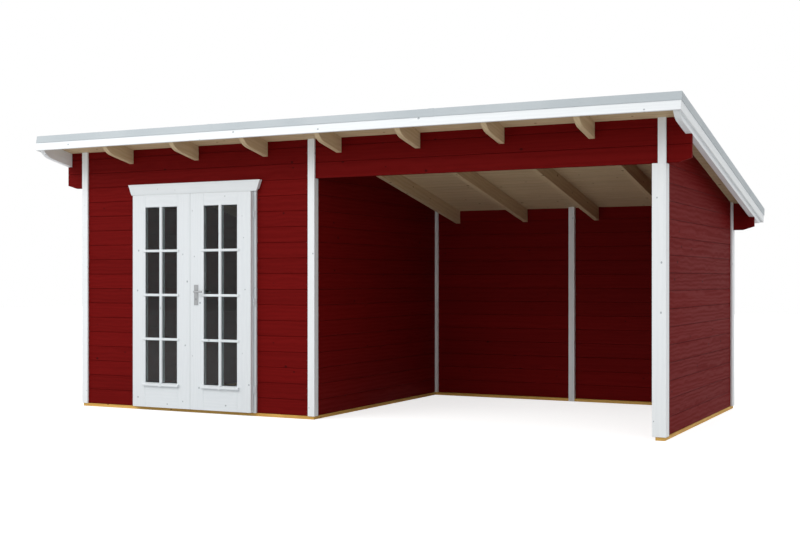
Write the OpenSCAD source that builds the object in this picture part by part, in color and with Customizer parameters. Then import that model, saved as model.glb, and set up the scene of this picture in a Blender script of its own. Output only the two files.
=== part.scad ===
// Log-board garden cabin with an open canopy beside it, under one single-pitch
// roof that falls to the back.  Millimetres, +Z up, front face towards -Y.
// The origin is at ground level, under the middle of the roof's outline.

/* [Walls] */
// Length of the building along the front, over the end walls
wall_l = 5310; // [4800:10:6400]
// Depth of the building, over the front and back walls
wall_d = 2410; // [2000:10:2900]
// Length of the closed cabin at the left end, over its side walls
cabin_l = 2416; // [2000:4:2900]
// Thickness of the wall boards
wall_t = 28; // [19:1:44]
// Height that one wall board covers
board_h = 130; // [108:1:156]
// Whole boards under the front header
front_boards = 15; // [14:1:17]
// Whole boards under the projecting top boards of the back wall
back_boards = 12; // [10:1:12]

/* [Sills] */
// Height of the sill beams
sill_h = 26; // [20:1:45]
// Width of the sill beams
sill_w = 70; // [58:1:95]
// How far the sill beams stand out past the wall face
sill_proud = 8; // [0:1:12]

/* [Roof] */
// Fall of the roof towards the back, in degrees
roof_slope = 11.3; // [9:0.1:12]
// Height of the front header, from its underside to the roof deck
header_h = 323; // [260:1:380]
// Reach of the roof past each end wall, to the outer face of the end rafters
side_overhang = 196; // [150:1:260]
// Reach of the roof in front of the front wall, along the slope
front_overhang = 390; // [320:1:480]
// Reach of the roof behind the back wall, along the slope
back_overhang = 365; // [320:1:460]
// Number of rafters, the two end ones included
rafter_count = 9; // [9]
// Depth of a rafter
rafter_h = 120; // [95:1:145]
// Thickness of a rafter
rafter_w = 45; // [38:1:56]
// Radius of the rounded underside at both rafter ends
nose_r = 175; // [140:1:220]
// Length of the rounded underside, back from the fascia
nose_l = 134; // [100:1:160]
// Clearance beside a rafter in its notch
notch_gap = 1; // [0.5:0.5:3]
// Thickness of the deck boards
deck_t = 18; // [16:1:22]
// Clearance between the deck and the walls that it rests on
deck_seat = 0.1; // [0.05:0.05:0.3]
// Thickness of the roofing felt
felt_t = 3; // [2:1:5]
// Depth of the fascias and bargeboards
fascia_h = 125; // [110:1:145]
// Thickness of the fascias and bargeboards
fascia_t = 18; // [16:1:22]
// Height of the fascia's top edge above the underside of the deck
fascia_rise = 43; // [36:1:60]
// Thickness of the folded edge trim
edge_t = 4; // [2:1:6]
// Depth of the edge trim's outer leg
edge_leg = 62; // [45:1:75]
// Length of the chamfer under the projecting board ends
chamfer_l = 100; // [60:1:130]
// Height of the same chamfer
chamfer_h = 30; // [15:1:50]

/* [Trims] */
// Thickness of the corner strips
strip_t = 18; // [15:1:22]
// Width of each leg of a corner strip, on the wall
strip_w = 46; // [40:1:70]
// Width of the post at the canopy's open corner
post_w = 102; // [90:1:120]
// Depth of the same post
post_d = 90; // [80:1:110]
// Width of the strip above the post
post_strip_w = 60; // [45:1:80]
// Side of the square strip in the canopy's inner corner
inner_strip = 30; // [24:1:60]
// Middle of the back wall's batten, from the canopy's cabin side
batten_x = 1422; // [1300:1:1600]
// Width of the batten
batten_w = 58; // [45:1:75]
// How far the batten stands out from the back wall
batten_t = 40; // [36:1:50]

/* [Door] */
// Middle of the doorway, from the left end wall
door_x = 1222; // [1150:1:1260]
// Width over the door frame
frame_w = 1287; // [1200:1:1300]
// Height of the frame's top, above the sill
frame_top = 1882; // [1850:1:1886]
// Width of the frame's timber
frame_t = 45; // [40:1:50]
// How far the frame stands out from both wall faces
frame_proud = 18; // [12:1:22]
// How far the leaves lap over the frame
leaf_lap = 23; // [18:1:26]
// Thickness of the leaves
leaf_t = 41; // [36:1:45]
// Running gap around and between the leaves
leaf_gap = 5; // [5:0.5:7]
// Width of the leaves' stiles
stile_w = 136; // [110:1:150]
// Height of the leaves' top rail
top_rail_h = 104; // [90:1:130]
// Height of the leaves' bottom rail
bottom_rail_h = 212; // [160:1:300]
// Thickness of the glass
glass_t = 4; // [3:1:6]
// Depth of the glass behind the leaf's front face
glass_set = 8; // [6:1:20]
// Width of the upright glazing bar
bar_v_w = 28; // [22:1:34]
// Width of the level glazing bars
bar_h_w = 22; // [16:1:30]
// How far the level bars lap over the stiles
bar_ear = 20; // [10:1:30]
// How far the glazing bars stand out from the leaf
bar_proud = 7; // [4:1:12]
// Height of the drip bar under the glass
drip_h = 24; // [18:1:32]
// How far the drip bar stands out from the leaf
drip_proud = 22; // [12:1:30]
// Height of the cornice over the door
cornice_h = 94; // [75:1:100]
// How far the cornice stands out from the wall
cornice_proud = 38; // [34:1:50]
// Flare of the cornice at each end
cornice_flare = 36; // [15:1:50]
// Reach of the cornice's lower edge past the frame
cornice_lap = 15; // [5:1:30]

/* [Door hardware] */
// Radius of the hinge barrels
barrel_r = 7; // [6:0.5:8]
// Length of half a hinge barrel
barrel_l = 30; // [24:1:40]
// Radius of the hinge pins
pin_r = 3; // [2.5:0.25:4]
// Radius of the arms that hold the barrels
arm_r = 4; // [3:0.25:5]
// Radial running clearance of pins and spindle
run_gap = 0.06; // [0.03:0.01:0.1]
// Number of hinges on each leaf
hinge_count = 3; // [2:1:4]
// Width of the lock plates
plate_w = 42; // [34:1:50]
// Height of the lock plates
plate_h = 174; // [140:1:210]
// Thickness of the lock plates
plate_t = 4; // [3:1:6]
// Middle of the lock plates, from the leaf's meeting edge
plate_x = 62; // [45:1:80]
// Height of the lever's spindle above the ground
lever_z = 1043; // [980:1:1100]
// Height of the spindle above the middle of the plate
lever_rise = 28; // [20:1:45]
// Radius of the lever's neck
neck_r = 8; // [7:0.5:10]
// Length of the lever's grip, from its spindle
lever_l = 92; // [80:1:110]
// Distance of the grip's outer face from the leaf
lever_out = 50; // [42:1:60]
// Thickness of the grip
lever_t = 12; // [10:1:16]
// Height of the grip
lever_h = 16; // [14:1:22]

/* [Hidden] */
$fn = 48;
cut = 10;                 // overrun of a cutting solid
nose_steps = 5;           // straight stretches in a rafter's rounded nose

wall_red = "#64100f";
trim_white = "#e6ebed";
pine = "#c9a878";
sill_gold = "#d8ac5c";
edge_grey = "#b9c1c6";
steel = "#9a9da0";
glass_dark = "#3c4042";

wall_z0 = sill_h;                                  // underside of the walls
header_z = wall_z0 + front_boards * board_h;       // underside of the front header
back_header_z = wall_z0 + back_boards * board_h;   // underside of the back header
deck_z0 = header_z + header_h;                     // deck's underside over the front face
back_in = wall_d - wall_t;                         // inner face of the back wall
cabin_in = cabin_l - wall_t;                       // inner face of the cabin's right wall
end_in = wall_l - wall_t;                          // inner face of the canopy's end wall

// Along the slope: s runs from the front wall's face to the back, n is square to the deck.
s_front = -front_overhang + fascia_t;              // front end of deck and rafters
s_back = wall_d / cos(roof_slope) + back_overhang - fascia_t;
roof_x0 = -side_overhang;
roof_x1 = wall_l + side_overhang;
roof_l = roof_x1 - roof_x0;
edge_x = fascia_t + edge_t;                        // reach of the trim past the end rafters
rafter_pitch = (roof_l - rafter_w) / (rafter_count - 1);
fascia_n0 = fascia_rise - fascia_h;
edge_top = fascia_rise + edge_t;
felt_n = deck_t + felt_t;

post_x = wall_l + strip_t - post_w;
post_y1 = post_d - strip_t;

// Door: the leaves stand in front of the frame and lap over it.
door_x0 = door_x - frame_w / 2;
door_x1 = door_x + frame_w / 2;
frame_z1 = wall_z0 + frame_top;
leaf_back = -frame_proud - leaf_gap;
leaf_front = leaf_back - leaf_t;
leaf_x0 = door_x0 + frame_t - leaf_lap;
leaf_x1 = door_x1 - frame_t + leaf_lap;
leaf_w = (leaf_x1 - leaf_x0 - leaf_gap) / 2;
leaf_z0 = wall_z0 + leaf_gap;
leaf_z1 = frame_z1 - frame_t + leaf_lap;
cornice_z = leaf_z1 + leaf_gap;
threshold_h = leaf_gap + leaf_lap;
glass_w = leaf_w - 2 * stile_w;
glass_z0 = leaf_z0 + bottom_rail_h;
glass_h = leaf_z1 - top_rail_h - glass_z0;
glass_y = leaf_front + glass_set;
rebate = 8;                                        // depth of the glass in its groove
bar_count = 3;
hinge_off = barrel_r + 2;                          // axis to leaf edge, and to frame face
hinge_y = -frame_proud - hinge_off;
hinge_end = 190;                                   // end hinges from the leaf's ends
washer = 0.5;
spindle_x = door_x + leaf_gap / 2 + plate_x;
plate_z = lever_z - lever_rise - plate_h / 2;

// Middle of the roof's outline, which stands over the origin.
function roof_y(s, n) = s * cos(roof_slope) + n * sin(roof_slope);
y_front = roof_y(-front_overhang - edge_t, -edge_leg + edge_top);
y_front_low = roof_y(-front_overhang, fascia_n0);
y_back = roof_y(s_back + fascia_t + edge_t, edge_top);
mid_x = (roof_x0 + roof_x1) / 2;
mid_y = (min(y_front, y_front_low) + y_back) / 2;

function deck_z(y) = deck_z0 - deck_seat - y * tan(roof_slope);
function rafter_x(i) = roof_x0 + i * rafter_pitch;
function hinge_z(k) = leaf_z0 + hinge_end
    + k * (leaf_z1 - leaf_z0 - 2 * hinge_end) / (hinge_count - 1);

// A block given by its low corner and its high corner.
module block(a, b) {
    translate(a) cube(b - a);
}

// Moves what stands over the front left corner of the walls to the origin's place.
module place() {
    translate([-mid_x, -mid_y, 0]) children();
}

// Puts flat roof work on the slope.
module on_slope() {
    translate([0, 0, deck_z0]) rotate([-roof_slope, 0, 0]) children();
}

// A profile in Y and Z, drawn out along X.
module along_x(x0, x1, profile) {
    translate([x0, 0, 0]) rotate([90, 0, 90]) linear_extrude(x1 - x0) polygon(profile);
}

// A strip or wall between two Y values, from z0 up to the sloping deck.
module up_to_deck(x0, x1, y0, y1, z0) {
    along_x(x0, x1, [[y0, z0], [y1, z0], [y1, deck_z(y1)], [y0, deck_z(y0)]]);
}

// ---- Sills ----

module long_sills() {
    color(sill_gold) place() {
        block([-sill_proud, -sill_proud, 0], [cabin_l + sill_proud, sill_w - sill_proud, sill_h]);
        block([-sill_proud, wall_d + sill_proud - sill_w, 0],
              [wall_l + sill_proud, wall_d + sill_proud, sill_h]);
    }
}

module cross_sills() {
    y0 = sill_w - sill_proud;
    y1 = wall_d + sill_proud - sill_w;
    color(sill_gold) place() {
        block([-sill_proud, y0, 0], [sill_w - sill_proud, y1, sill_h]);
        block([cabin_l + sill_proud - sill_w, y0, 0], [cabin_l + sill_proud, y1, sill_h]);
        block([wall_l + sill_proud - sill_w, -sill_proud, 0], [wall_l + sill_proud, y1, sill_h]);
    }
}

// ---- Walls ----

module front_wall_left() {
    color(wall_red) place() block([0, 0, wall_z0], [door_x0, wall_t, header_z]);
}

module front_wall_right() {
    color(wall_red) place() block([door_x1, 0, wall_z0], [cabin_l, wall_t, header_z]);
}

module front_wall_over_door() {
    color(wall_red) place() block([door_x0, 0, frame_z1], [door_x1, wall_t, header_z]);
}

module cabin_left_wall() {
    color(wall_red) place() up_to_deck(0, wall_t, wall_t, back_in, wall_z0);
}

module cabin_right_wall() {
    color(wall_red) place() up_to_deck(cabin_in, cabin_l, wall_t, back_in, wall_z0);
}

// The end wall starts behind the post, and behind the header above it.
module canopy_end_wall() {
    color(wall_red) place() along_x(end_in, wall_l, [
        [post_y1, wall_z0], [back_in, wall_z0], [back_in, deck_z(back_in)],
        [wall_t, deck_z(wall_t)], [wall_t, header_z], [post_y1, header_z]
    ]);
}

module back_wall() {
    color(wall_red) place() block([0, back_in, wall_z0], [wall_l, wall_d, back_header_z]);
}

// Notches that let the rafters through a run of top boards.
module rafter_notches() {
    on_slope() for (i = [0 : rafter_count - 1])
        block([rafter_x(i) - notch_gap, s_front, -rafter_h],
              [rafter_x(i) + rafter_w + notch_gap, s_back, cut]);
}

// Cuts the lower corner off both ends of a run of top boards.
module end_chamfers(y0, y1, z) {
    for (side = [-1, 1]) translate([mid_x + side * roof_l / 2, y0 - cut, z])
        rotate([-90, 0, 0]) linear_extrude(y1 - y0 + 2 * cut)
            polygon([[cut * side, cut], [-chamfer_l * side, cut], [-chamfer_l * side, 0],
                     [0, -chamfer_h], [cut * side, -chamfer_h]]);
}

// Top boards that run past both end walls and carry the rafters.
module top_boards(y0, y1, z) {
    difference() {
        up_to_deck(roof_x0, roof_x1, y0, y1, z);
        end_chamfers(y0, y1, z);
        rafter_notches();
    }
}

module front_header() {
    color(wall_red) place() top_boards(0, wall_t, header_z);
}

module back_header() {
    color(wall_red) place() top_boards(back_in, wall_d, back_header_z);
}

// ---- Post and trims ----

module canopy_post() {
    color(trim_white) place()
        block([post_x, -strip_t, wall_z0], [wall_l + strip_t, post_y1, header_z]);
}

// Corner strips of the cabin's front, and the strip over the post.
module front_trims() {
    color(trim_white) place() {
        up_to_deck(-strip_t, strip_w, -strip_t, 0, wall_z0);
        block([-strip_t, 0, wall_z0], [0, strip_w, header_z]);
        up_to_deck(cabin_l - strip_w, cabin_l + strip_t, -strip_t, 0, wall_z0);
        block([cabin_l, 0, wall_z0], [cabin_l + strip_t, strip_w, header_z]);
        up_to_deck(wall_l + strip_t - post_strip_w, wall_l + strip_t, -strip_t, 0, header_z);
    }
}

// One back corner strip: it passes in front of the projecting top boards.
module back_corner_trim() {
    up_to_deck(0, strip_t, back_in - strip_w, back_in, wall_z0);
    block([0, back_in, wall_z0], [strip_t, wall_d + strip_t, back_header_z]);
    block([-strip_w, wall_d, wall_z0], [0, wall_d + strip_t, back_header_z]);
}

module back_corner_trims() {
    color(trim_white) place() {
        translate([wall_l, 0, 0]) back_corner_trim();
        mirror([1, 0, 0]) back_corner_trim();
    }
}

module inner_corner_strip() {
    color(trim_white) place()
        up_to_deck(cabin_l, cabin_l + inner_strip, back_in - inner_strip, back_in, wall_z0);
}

// The batten reaches the ground, and is notched over the back sill.
module back_wall_batten() {
    y0 = back_in - batten_t;
    sill_y = wall_d + sill_proud - sill_w;
    x0 = cabin_l + batten_x - batten_w / 2;
    color(trim_white) place() along_x(x0, x0 + batten_w, [
        [y0, 0], [sill_y, 0], [sill_y, sill_h], [back_in, sill_h],
        [back_in, deck_z(back_in)], [y0, deck_z(y0)]
    ]);
}

// ---- Roof ----

// Underside of a rounded nose, as points from the straight part to the end.
function nose(s_end, dir) = [for (k = [0 : nose_steps])
    let (run = nose_l * k / nose_steps)
        [s_end - dir * (nose_l - run), nose_r - sqrt(nose_r * nose_r - run * run) - rafter_h]];

module rafter(i) {
    front = nose(s_front, -1);
    back = nose(s_back, 1);
    place() on_slope() along_x(rafter_x(i), rafter_x(i) + rafter_w, concat(
        [for (k = [nose_steps : -1 : 0]) front[k]], back, [[s_back, 0], [s_front, 0]]));
}

module end_rafters() {
    color(trim_white) {
        rafter(0);
        rafter(rafter_count - 1);
    }
}

module rafter_1() { color(pine) rafter(1); }
module rafter_2() { color(pine) rafter(2); }
module rafter_3() { color(pine) rafter(3); }
module rafter_4() { color(pine) rafter(4); }
module rafter_5() { color(pine) rafter(5); }
module rafter_6() { color(pine) rafter(6); }
module rafter_7() { color(pine) rafter(7); }

module roof_deck() {
    color(pine) place() on_slope() block([roof_x0, s_front, 0], [roof_x1, s_back, deck_t]);
}

module roof_felt() {
    color(edge_grey) place() on_slope()
        block([roof_x0, s_front, deck_t], [roof_x1, s_back, felt_n]);
}

// Front and back fascias, which run over the ends of the bargeboards.
module fascias() {
    color(trim_white) place() on_slope() for (s = [s_front - fascia_t, s_back])
        block([roof_x0 - fascia_t, s, fascia_n0],
              [roof_x1 + fascia_t, s + fascia_t, fascia_rise]);
}

module bargeboards() {
    color(trim_white) place() on_slope() for (x = [roof_x0 - fascia_t, roof_x1])
        block([x, s_front, fascia_n0], [x + fascia_t, s_back, fascia_rise]);
}

// Folded trim over a fascia: outer leg, top, and an inner leg down to the felt.
module cross_edge_trim(s, dir) {
    x0 = roof_x0 + edge_t;
    x1 = roof_x1 - edge_t;
    out = s + dir * fascia_t;
    translate([0, out, 0]) mirror([0, (1 - dir) / 2, 0]) {
        block([roof_x0 - edge_x, 0, edge_top - edge_leg], [roof_x1 + edge_x, edge_t, edge_top]);
        block([x0, -fascia_t - edge_t, fascia_rise], [x1, 0, edge_top]);
        block([x0, -fascia_t - edge_t, felt_n], [x1, -fascia_t, fascia_rise]);
    }
}

module front_back_edge_trims() {
    color(edge_grey) place() on_slope() {
        cross_edge_trim(s_front, -1);
        cross_edge_trim(s_back, 1);
    }
}

// The same trim over a bargeboard, from one fascia's face to the other's.
module side_edge_trim() {
    s0 = s_front - fascia_t;
    s1 = s_back + fascia_t;
    block([fascia_t, s0, edge_top - edge_leg], [edge_x, s1, edge_top]);
    block([-edge_t, s0, fascia_rise], [fascia_t, s1, edge_top]);
    block([-edge_t, s_front, felt_n], [0, s_back, fascia_rise]);
}

module side_edge_trims() {
    color(edge_grey) place() on_slope() {
        translate([roof_x1, 0, 0]) side_edge_trim();
        translate([roof_x0, 0, 0]) mirror([1, 0, 0]) side_edge_trim();
    }
}

// ---- Door frame ----

module door_jambs() {
    color(trim_white) place() for (x = [door_x0, door_x1 - frame_t])
        block([x, -frame_proud, wall_z0], [x + frame_t, wall_t + frame_proud, frame_z1]);
}

module door_head() {
    color(trim_white) place()
        block([door_x0 + frame_t, -frame_proud, frame_z1 - frame_t],
              [door_x1 - frame_t, wall_t + frame_proud, frame_z1]);
}

module door_threshold() {
    color(trim_white) place()
        block([door_x0 + frame_t, -frame_proud, wall_z0],
              [door_x1 - frame_t, wall_t + frame_proud, wall_z0 + threshold_h]);
}

// A board with flared ends, seated on the wall and on the frame's head.
module door_cornice() {
    w0 = frame_w / 2 + cornice_lap;
    w1 = w0 + cornice_flare;
    z1 = cornice_z + cornice_h;
    color(trim_white) place() intersection() {
        along_x(door_x - w1, door_x + w1, [
            [-frame_proud, cornice_z], [-frame_proud, frame_z1], [0, frame_z1], [0, z1],
            [-cornice_proud, z1], [-cornice_proud, cornice_z]
        ]);
        translate([door_x, 0, 0]) rotate([90, 0, 0]) linear_extrude(2 * cornice_proud, center = true)
            polygon([[-w0, cornice_z], [w0, cornice_z], [w1, z1], [-w1, z1]]);
    }
}

// ---- Door leaves ----

// One leaf with its glass groove and drip bar; x0 is its left edge.
module leaf(x0) {
    gx = x0 + stile_w;
    difference() {
        union() {
            block([x0, leaf_front, leaf_z0], [x0 + leaf_w, leaf_back, leaf_z1]);
            block([gx - bar_ear, leaf_front - drip_proud, glass_z0 - drip_h],
                  [gx + glass_w + bar_ear, leaf_front, glass_z0]);
        }
        block([gx, leaf_front - cut, glass_z0], [gx + glass_w, leaf_back + cut, glass_z0 + glass_h]);
        block([gx - rebate, glass_y, glass_z0 - rebate],
              [gx + glass_w + rebate, glass_y + glass_t, glass_z0 + glass_h + rebate]);
    }
}

module left_leaf() {
    color(trim_white) place() leaf(leaf_x0);
}

// The right leaf carries the lock, so the lever's spindle passes through it.
module right_leaf() {
    color(trim_white) place() difference() {
        leaf(leaf_x1 - leaf_w);
        spindle_hole();
    }
}

module spindle_hole() {
    translate([spindle_x, leaf_back + plate_t + cut, lever_z]) rotate([90, 0, 0])
        cylinder(h = leaf_t + 2 * plate_t + 2 * cut, r = neck_r + run_gap);
}

module glass(x0) {
    color(glass_dark, 0.6) place()
        block([x0 + stile_w - rebate, glass_y, glass_z0 - rebate],
              [x0 + stile_w + glass_w + rebate, glass_y + glass_t, glass_z0 + glass_h + rebate]);
}

module left_glass() { glass(leaf_x0); }
module right_glass() { glass(leaf_x1 - leaf_w); }

// One upright and the level bars, in front of the glass and lapped on the stiles.
module glazing_bars(x0) {
    gx = x0 + stile_w;
    xm = gx + glass_w / 2;
    y0 = leaf_front - bar_proud;
    color(trim_white) place() {
        block([xm - bar_v_w / 2, y0, glass_z0], [xm + bar_v_w / 2, glass_y, glass_z0 + glass_h]);
        for (k = [1 : bar_count]) {
            z = glass_z0 + k * glass_h / (bar_count + 1);
            block([gx, y0, z - bar_h_w / 2], [gx + glass_w, glass_y, z + bar_h_w / 2]);
            block([gx - bar_ear, y0, z - bar_h_w / 2],
                  [gx + glass_w + bar_ear, leaf_front, z + bar_h_w / 2]);
        }
    }
}

module left_glazing_bars() { glazing_bars(leaf_x0); }
module right_glazing_bars() { glazing_bars(leaf_x1 - leaf_w); }

// ---- Hinges ----

// Lower halves and their pins, held on the face of the jambs.
module hinge_pins() {
    color(steel) place() for (x = [leaf_x0 - hinge_off, leaf_x1 + hinge_off])
        for (k = [0 : hinge_count - 1]) translate([x, hinge_y, hinge_z(k)]) {
            translate([0, 0, -barrel_l]) cylinder(h = barrel_l, r = barrel_r);
            cylinder(h = barrel_l - 4, r = pin_r);
            translate([0, 0, -barrel_l / 2]) rotate([-90, 0, 0]) cylinder(h = hinge_off, r = arm_r);
        }
}

// Upper halves, bored for the pins, held on the edge of a leaf.
module hinge_barrels(x, dir) {
    color(steel) place() for (k = [0 : hinge_count - 1])
        translate([x, hinge_y, hinge_z(k)]) difference() {
            union() {
                translate([0, 0, washer]) cylinder(h = barrel_l, r = barrel_r);
                translate([0, 0, washer + barrel_l / 2]) rotate([0, 90 * dir, 0])
                    cylinder(h = hinge_off, r = arm_r);
            }
            translate([0, 0, -cut]) cylinder(h = cut + barrel_l - 3, r = pin_r + run_gap);
        }
}

module left_hinge_barrels() { hinge_barrels(leaf_x0 - hinge_off, 1); }
module right_hinge_barrels() { hinge_barrels(leaf_x1 + hinge_off, -1); }

// ---- Lock ----

// A plate on each face of the right leaf, bored for the lever's neck.
module lock_plates() {
    color(steel) place() difference() {
        for (y = [leaf_front - plate_t, leaf_back])
            block([spindle_x - plate_w / 2, y, plate_z],
                  [spindle_x + plate_w / 2, y + plate_t, plate_z + plate_h]);
        spindle_hole();
    }
}

// Grips inside and outside, on one neck through the leaf.
module lever_handle() {
    reach = 2 * lever_out + leaf_t;
    color(steel) place() translate([spindle_x, leaf_back + lever_out, lever_z]) {
        rotate([90, 0, 0]) cylinder(h = reach, r = neck_r);
        for (y = [-reach, -lever_t])
            block([0, y, -lever_h / 2], [lever_l, y + lever_t, lever_h / 2]);
    }
}

long_sills();
cross_sills();
front_wall_left();
front_wall_right();
front_wall_over_door();
cabin_left_wall();
cabin_right_wall();
canopy_end_wall();
back_wall();
front_header();
back_header();
canopy_post();
front_trims();
back_corner_trims();
inner_corner_strip();
back_wall_batten();
end_rafters();
rafter_1();
rafter_2();
rafter_3();
rafter_4();
rafter_5();
rafter_6();
rafter_7();
roof_deck();
roof_felt();
fascias();
bargeboards();
front_back_edge_trims();
side_edge_trims();
door_jambs();
door_head();
door_threshold();
door_cornice();
left_leaf();
left_glass();
left_glazing_bars();
left_hinge_barrels();
right_leaf();
right_glass();
right_glazing_bars();
right_hinge_barrels();
hinge_pins();
lock_plates();
lever_handle();
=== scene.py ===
"""Looks of a log-board garden cabin with an open canopy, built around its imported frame.

The frame gives every place: walls, roof work, trims and door parts are drawn as the boards,
mouldings and fittings that they are made of, and each piece rides on its own body.
Metres, +Z up, the front towards -Y.
"""

from __future__ import annotations

import logging
import math
from dataclasses import dataclass, field
from enum import Enum
from typing import Any, Iterable, Sequence

import bmesh
import bpy
from mathutils import Matrix, Vector

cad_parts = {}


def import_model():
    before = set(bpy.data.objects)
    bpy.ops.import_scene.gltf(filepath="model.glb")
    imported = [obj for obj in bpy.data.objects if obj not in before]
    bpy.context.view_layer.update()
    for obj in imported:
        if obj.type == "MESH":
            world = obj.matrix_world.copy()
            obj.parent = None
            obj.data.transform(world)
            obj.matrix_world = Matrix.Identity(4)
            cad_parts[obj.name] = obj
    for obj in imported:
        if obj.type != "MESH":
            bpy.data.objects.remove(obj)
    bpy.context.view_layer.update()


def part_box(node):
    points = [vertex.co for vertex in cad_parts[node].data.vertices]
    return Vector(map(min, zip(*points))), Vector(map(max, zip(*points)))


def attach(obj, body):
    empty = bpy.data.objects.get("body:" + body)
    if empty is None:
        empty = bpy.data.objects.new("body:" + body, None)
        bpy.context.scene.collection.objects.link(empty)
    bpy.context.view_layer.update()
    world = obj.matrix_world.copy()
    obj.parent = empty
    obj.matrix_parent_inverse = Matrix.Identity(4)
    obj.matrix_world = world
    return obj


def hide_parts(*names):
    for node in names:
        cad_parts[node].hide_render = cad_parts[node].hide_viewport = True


LOG = logging.getLogger("cabin")

BOARD_COVER = 0.130            # height that one wall board covers
SLOPE = math.radians(11.3)     # fall of the roof towards the back
MERGE = 0.00002                # distance under which two vertices are one
FLAT = math.radians(0.5)       # edges flatter than this are dissolved
CREASE = math.radians(28)      # edges sharper than this are eased

Point = tuple[float, float]
Colour = tuple[float, float, float, float]


class Body(str, Enum):
    """The bodies that pieces ride on."""

    BUILDING = "building"
    LEFT = "left_leaf"
    RIGHT = "right_leaf"
    LEVER = "lever"


class Slot(str, Enum):
    """The material slots of the record."""

    BOARDS = "red_boards"
    WHITE = "white_timber"
    PINE = "bare_pine"
    SILL = "sill_timber"
    FELT = "roofing_felt"
    TRIM = "edge_trim"
    GLASS = "glass"
    STEEL = "steel"


class Axis(Enum):
    """The direction of a piece's length, or of its fibres."""

    X = 0
    Y = 1
    Z = 2


def srgb(red: int, green: int, blue: int) -> Colour:
    """A colour written in 0 to 255, as linear values."""
    def linear(value: int) -> float:
        """One channel, made linear."""
        share = value / 255
        return share / 12.92 if share <= 0.04045 else ((share + 0.055) / 1.055) ** 2.4
    return (linear(red), linear(green), linear(blue), 1.0)


# ---------------------------------------------------------------- node trees


class Graph:
    """Adds nodes to one tree and joins them.

    Args:
        tree: The tree to fill.
    """

    def __init__(self, tree: bpy.types.NodeTree) -> None:
        """Empties the tree and keeps it."""
        self.tree = tree
        tree.nodes.clear()

    def add(self, kind: str, inputs: dict[Any, Any] | None = None, **settings: Any) -> Any:
        """Adds one node.

        Args:
            kind: The node's type.
            inputs: Values or sockets by input name or number.
            **settings: The node's own properties.

        Returns:
            The node.
        """
        node = self.tree.nodes.new(kind)
        for key, value in settings.items():
            setattr(node, key, value)
        for key, value in (inputs or {}).items():
            if isinstance(value, bpy.types.NodeSocket):
                self.tree.links.new(value, node.inputs[key])
            else:
                node.inputs[key].default_value = value
        return node

    def math(self, operation: str, *values: Any, clamp: bool = False) -> Any:
        """The result of one Math node on the given values or sockets."""
        node = self.add("ShaderNodeMath", dict(enumerate(values)), operation=operation)
        node.use_clamp = clamp
        return node.outputs[0]

    def vector(self, operation: str, *values: Any) -> Any:
        """The vector that one Vector Math node makes of the given values or sockets."""
        return self.add("ShaderNodeVectorMath", dict(enumerate(values)), operation=operation).outputs[0]

    def blend(self, factor: Any, low: Any, high: Any, mode: str = "MIX") -> Any:
        """The colour between low and high."""
        node = self.add("ShaderNodeMix", {0: factor, 6: low, 7: high}, data_type="RGBA", blend_type=mode)
        return node.outputs[2]

    def spread(self, value: Any, low: Any, high: Any, to_low: float = 0.0, to_high: float = 1.0) -> Any:
        """A value mapped smoothly from one range to another."""
        node = self.add("ShaderNodeMapRange", {0: value, 1: low, 2: high, 3: to_low, 4: to_high},
                        interpolation_type="SMOOTHSTEP")
        return node.outputs[0]

    def use(self, group: bpy.types.NodeTree, inputs: dict[str, Any]) -> Any:
        """Places a shader node group, fills its inputs and returns its node."""
        return self._filled(self.add("ShaderNodeGroup", node_tree=group), inputs)

    def _filled(self, node: Any, inputs: dict[str, Any]) -> Any:
        """Gives a placed group its values and sockets."""
        for key, value in inputs.items():
            if isinstance(value, bpy.types.NodeSocket):
                self.tree.links.new(value, node.inputs[key])
            else:
                node.inputs[key].default_value = value
        return node


def new_tree(name: str, kind: str, takes: dict[str, tuple[str, Any]],
             gives: dict[str, str]) -> tuple[bpy.types.NodeTree, Any, Any, Graph]:
    """Makes a node group with named sockets.

    Args:
        name: The group's name.
        kind: ShaderNodeTree or GeometryNodeTree.
        takes: Input name to socket kind and default value.
        gives: Output name to socket kind.

    Returns:
        The tree, its input node, its output node and a graph on it.
    """
    tree = bpy.data.node_groups.new(name, kind)
    for label, (socket, default) in takes.items():
        item = tree.interface.new_socket(label, in_out="INPUT", socket_type="NodeSocket" + socket)
        if default is not None:
            item.default_value = default
    for label, socket in gives.items():
        tree.interface.new_socket(label, in_out="OUTPUT", socket_type="NodeSocket" + socket)
    graph = Graph(tree)
    return tree, graph.add("NodeGroupInput"), graph.add("NodeGroupOutput"), graph


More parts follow.
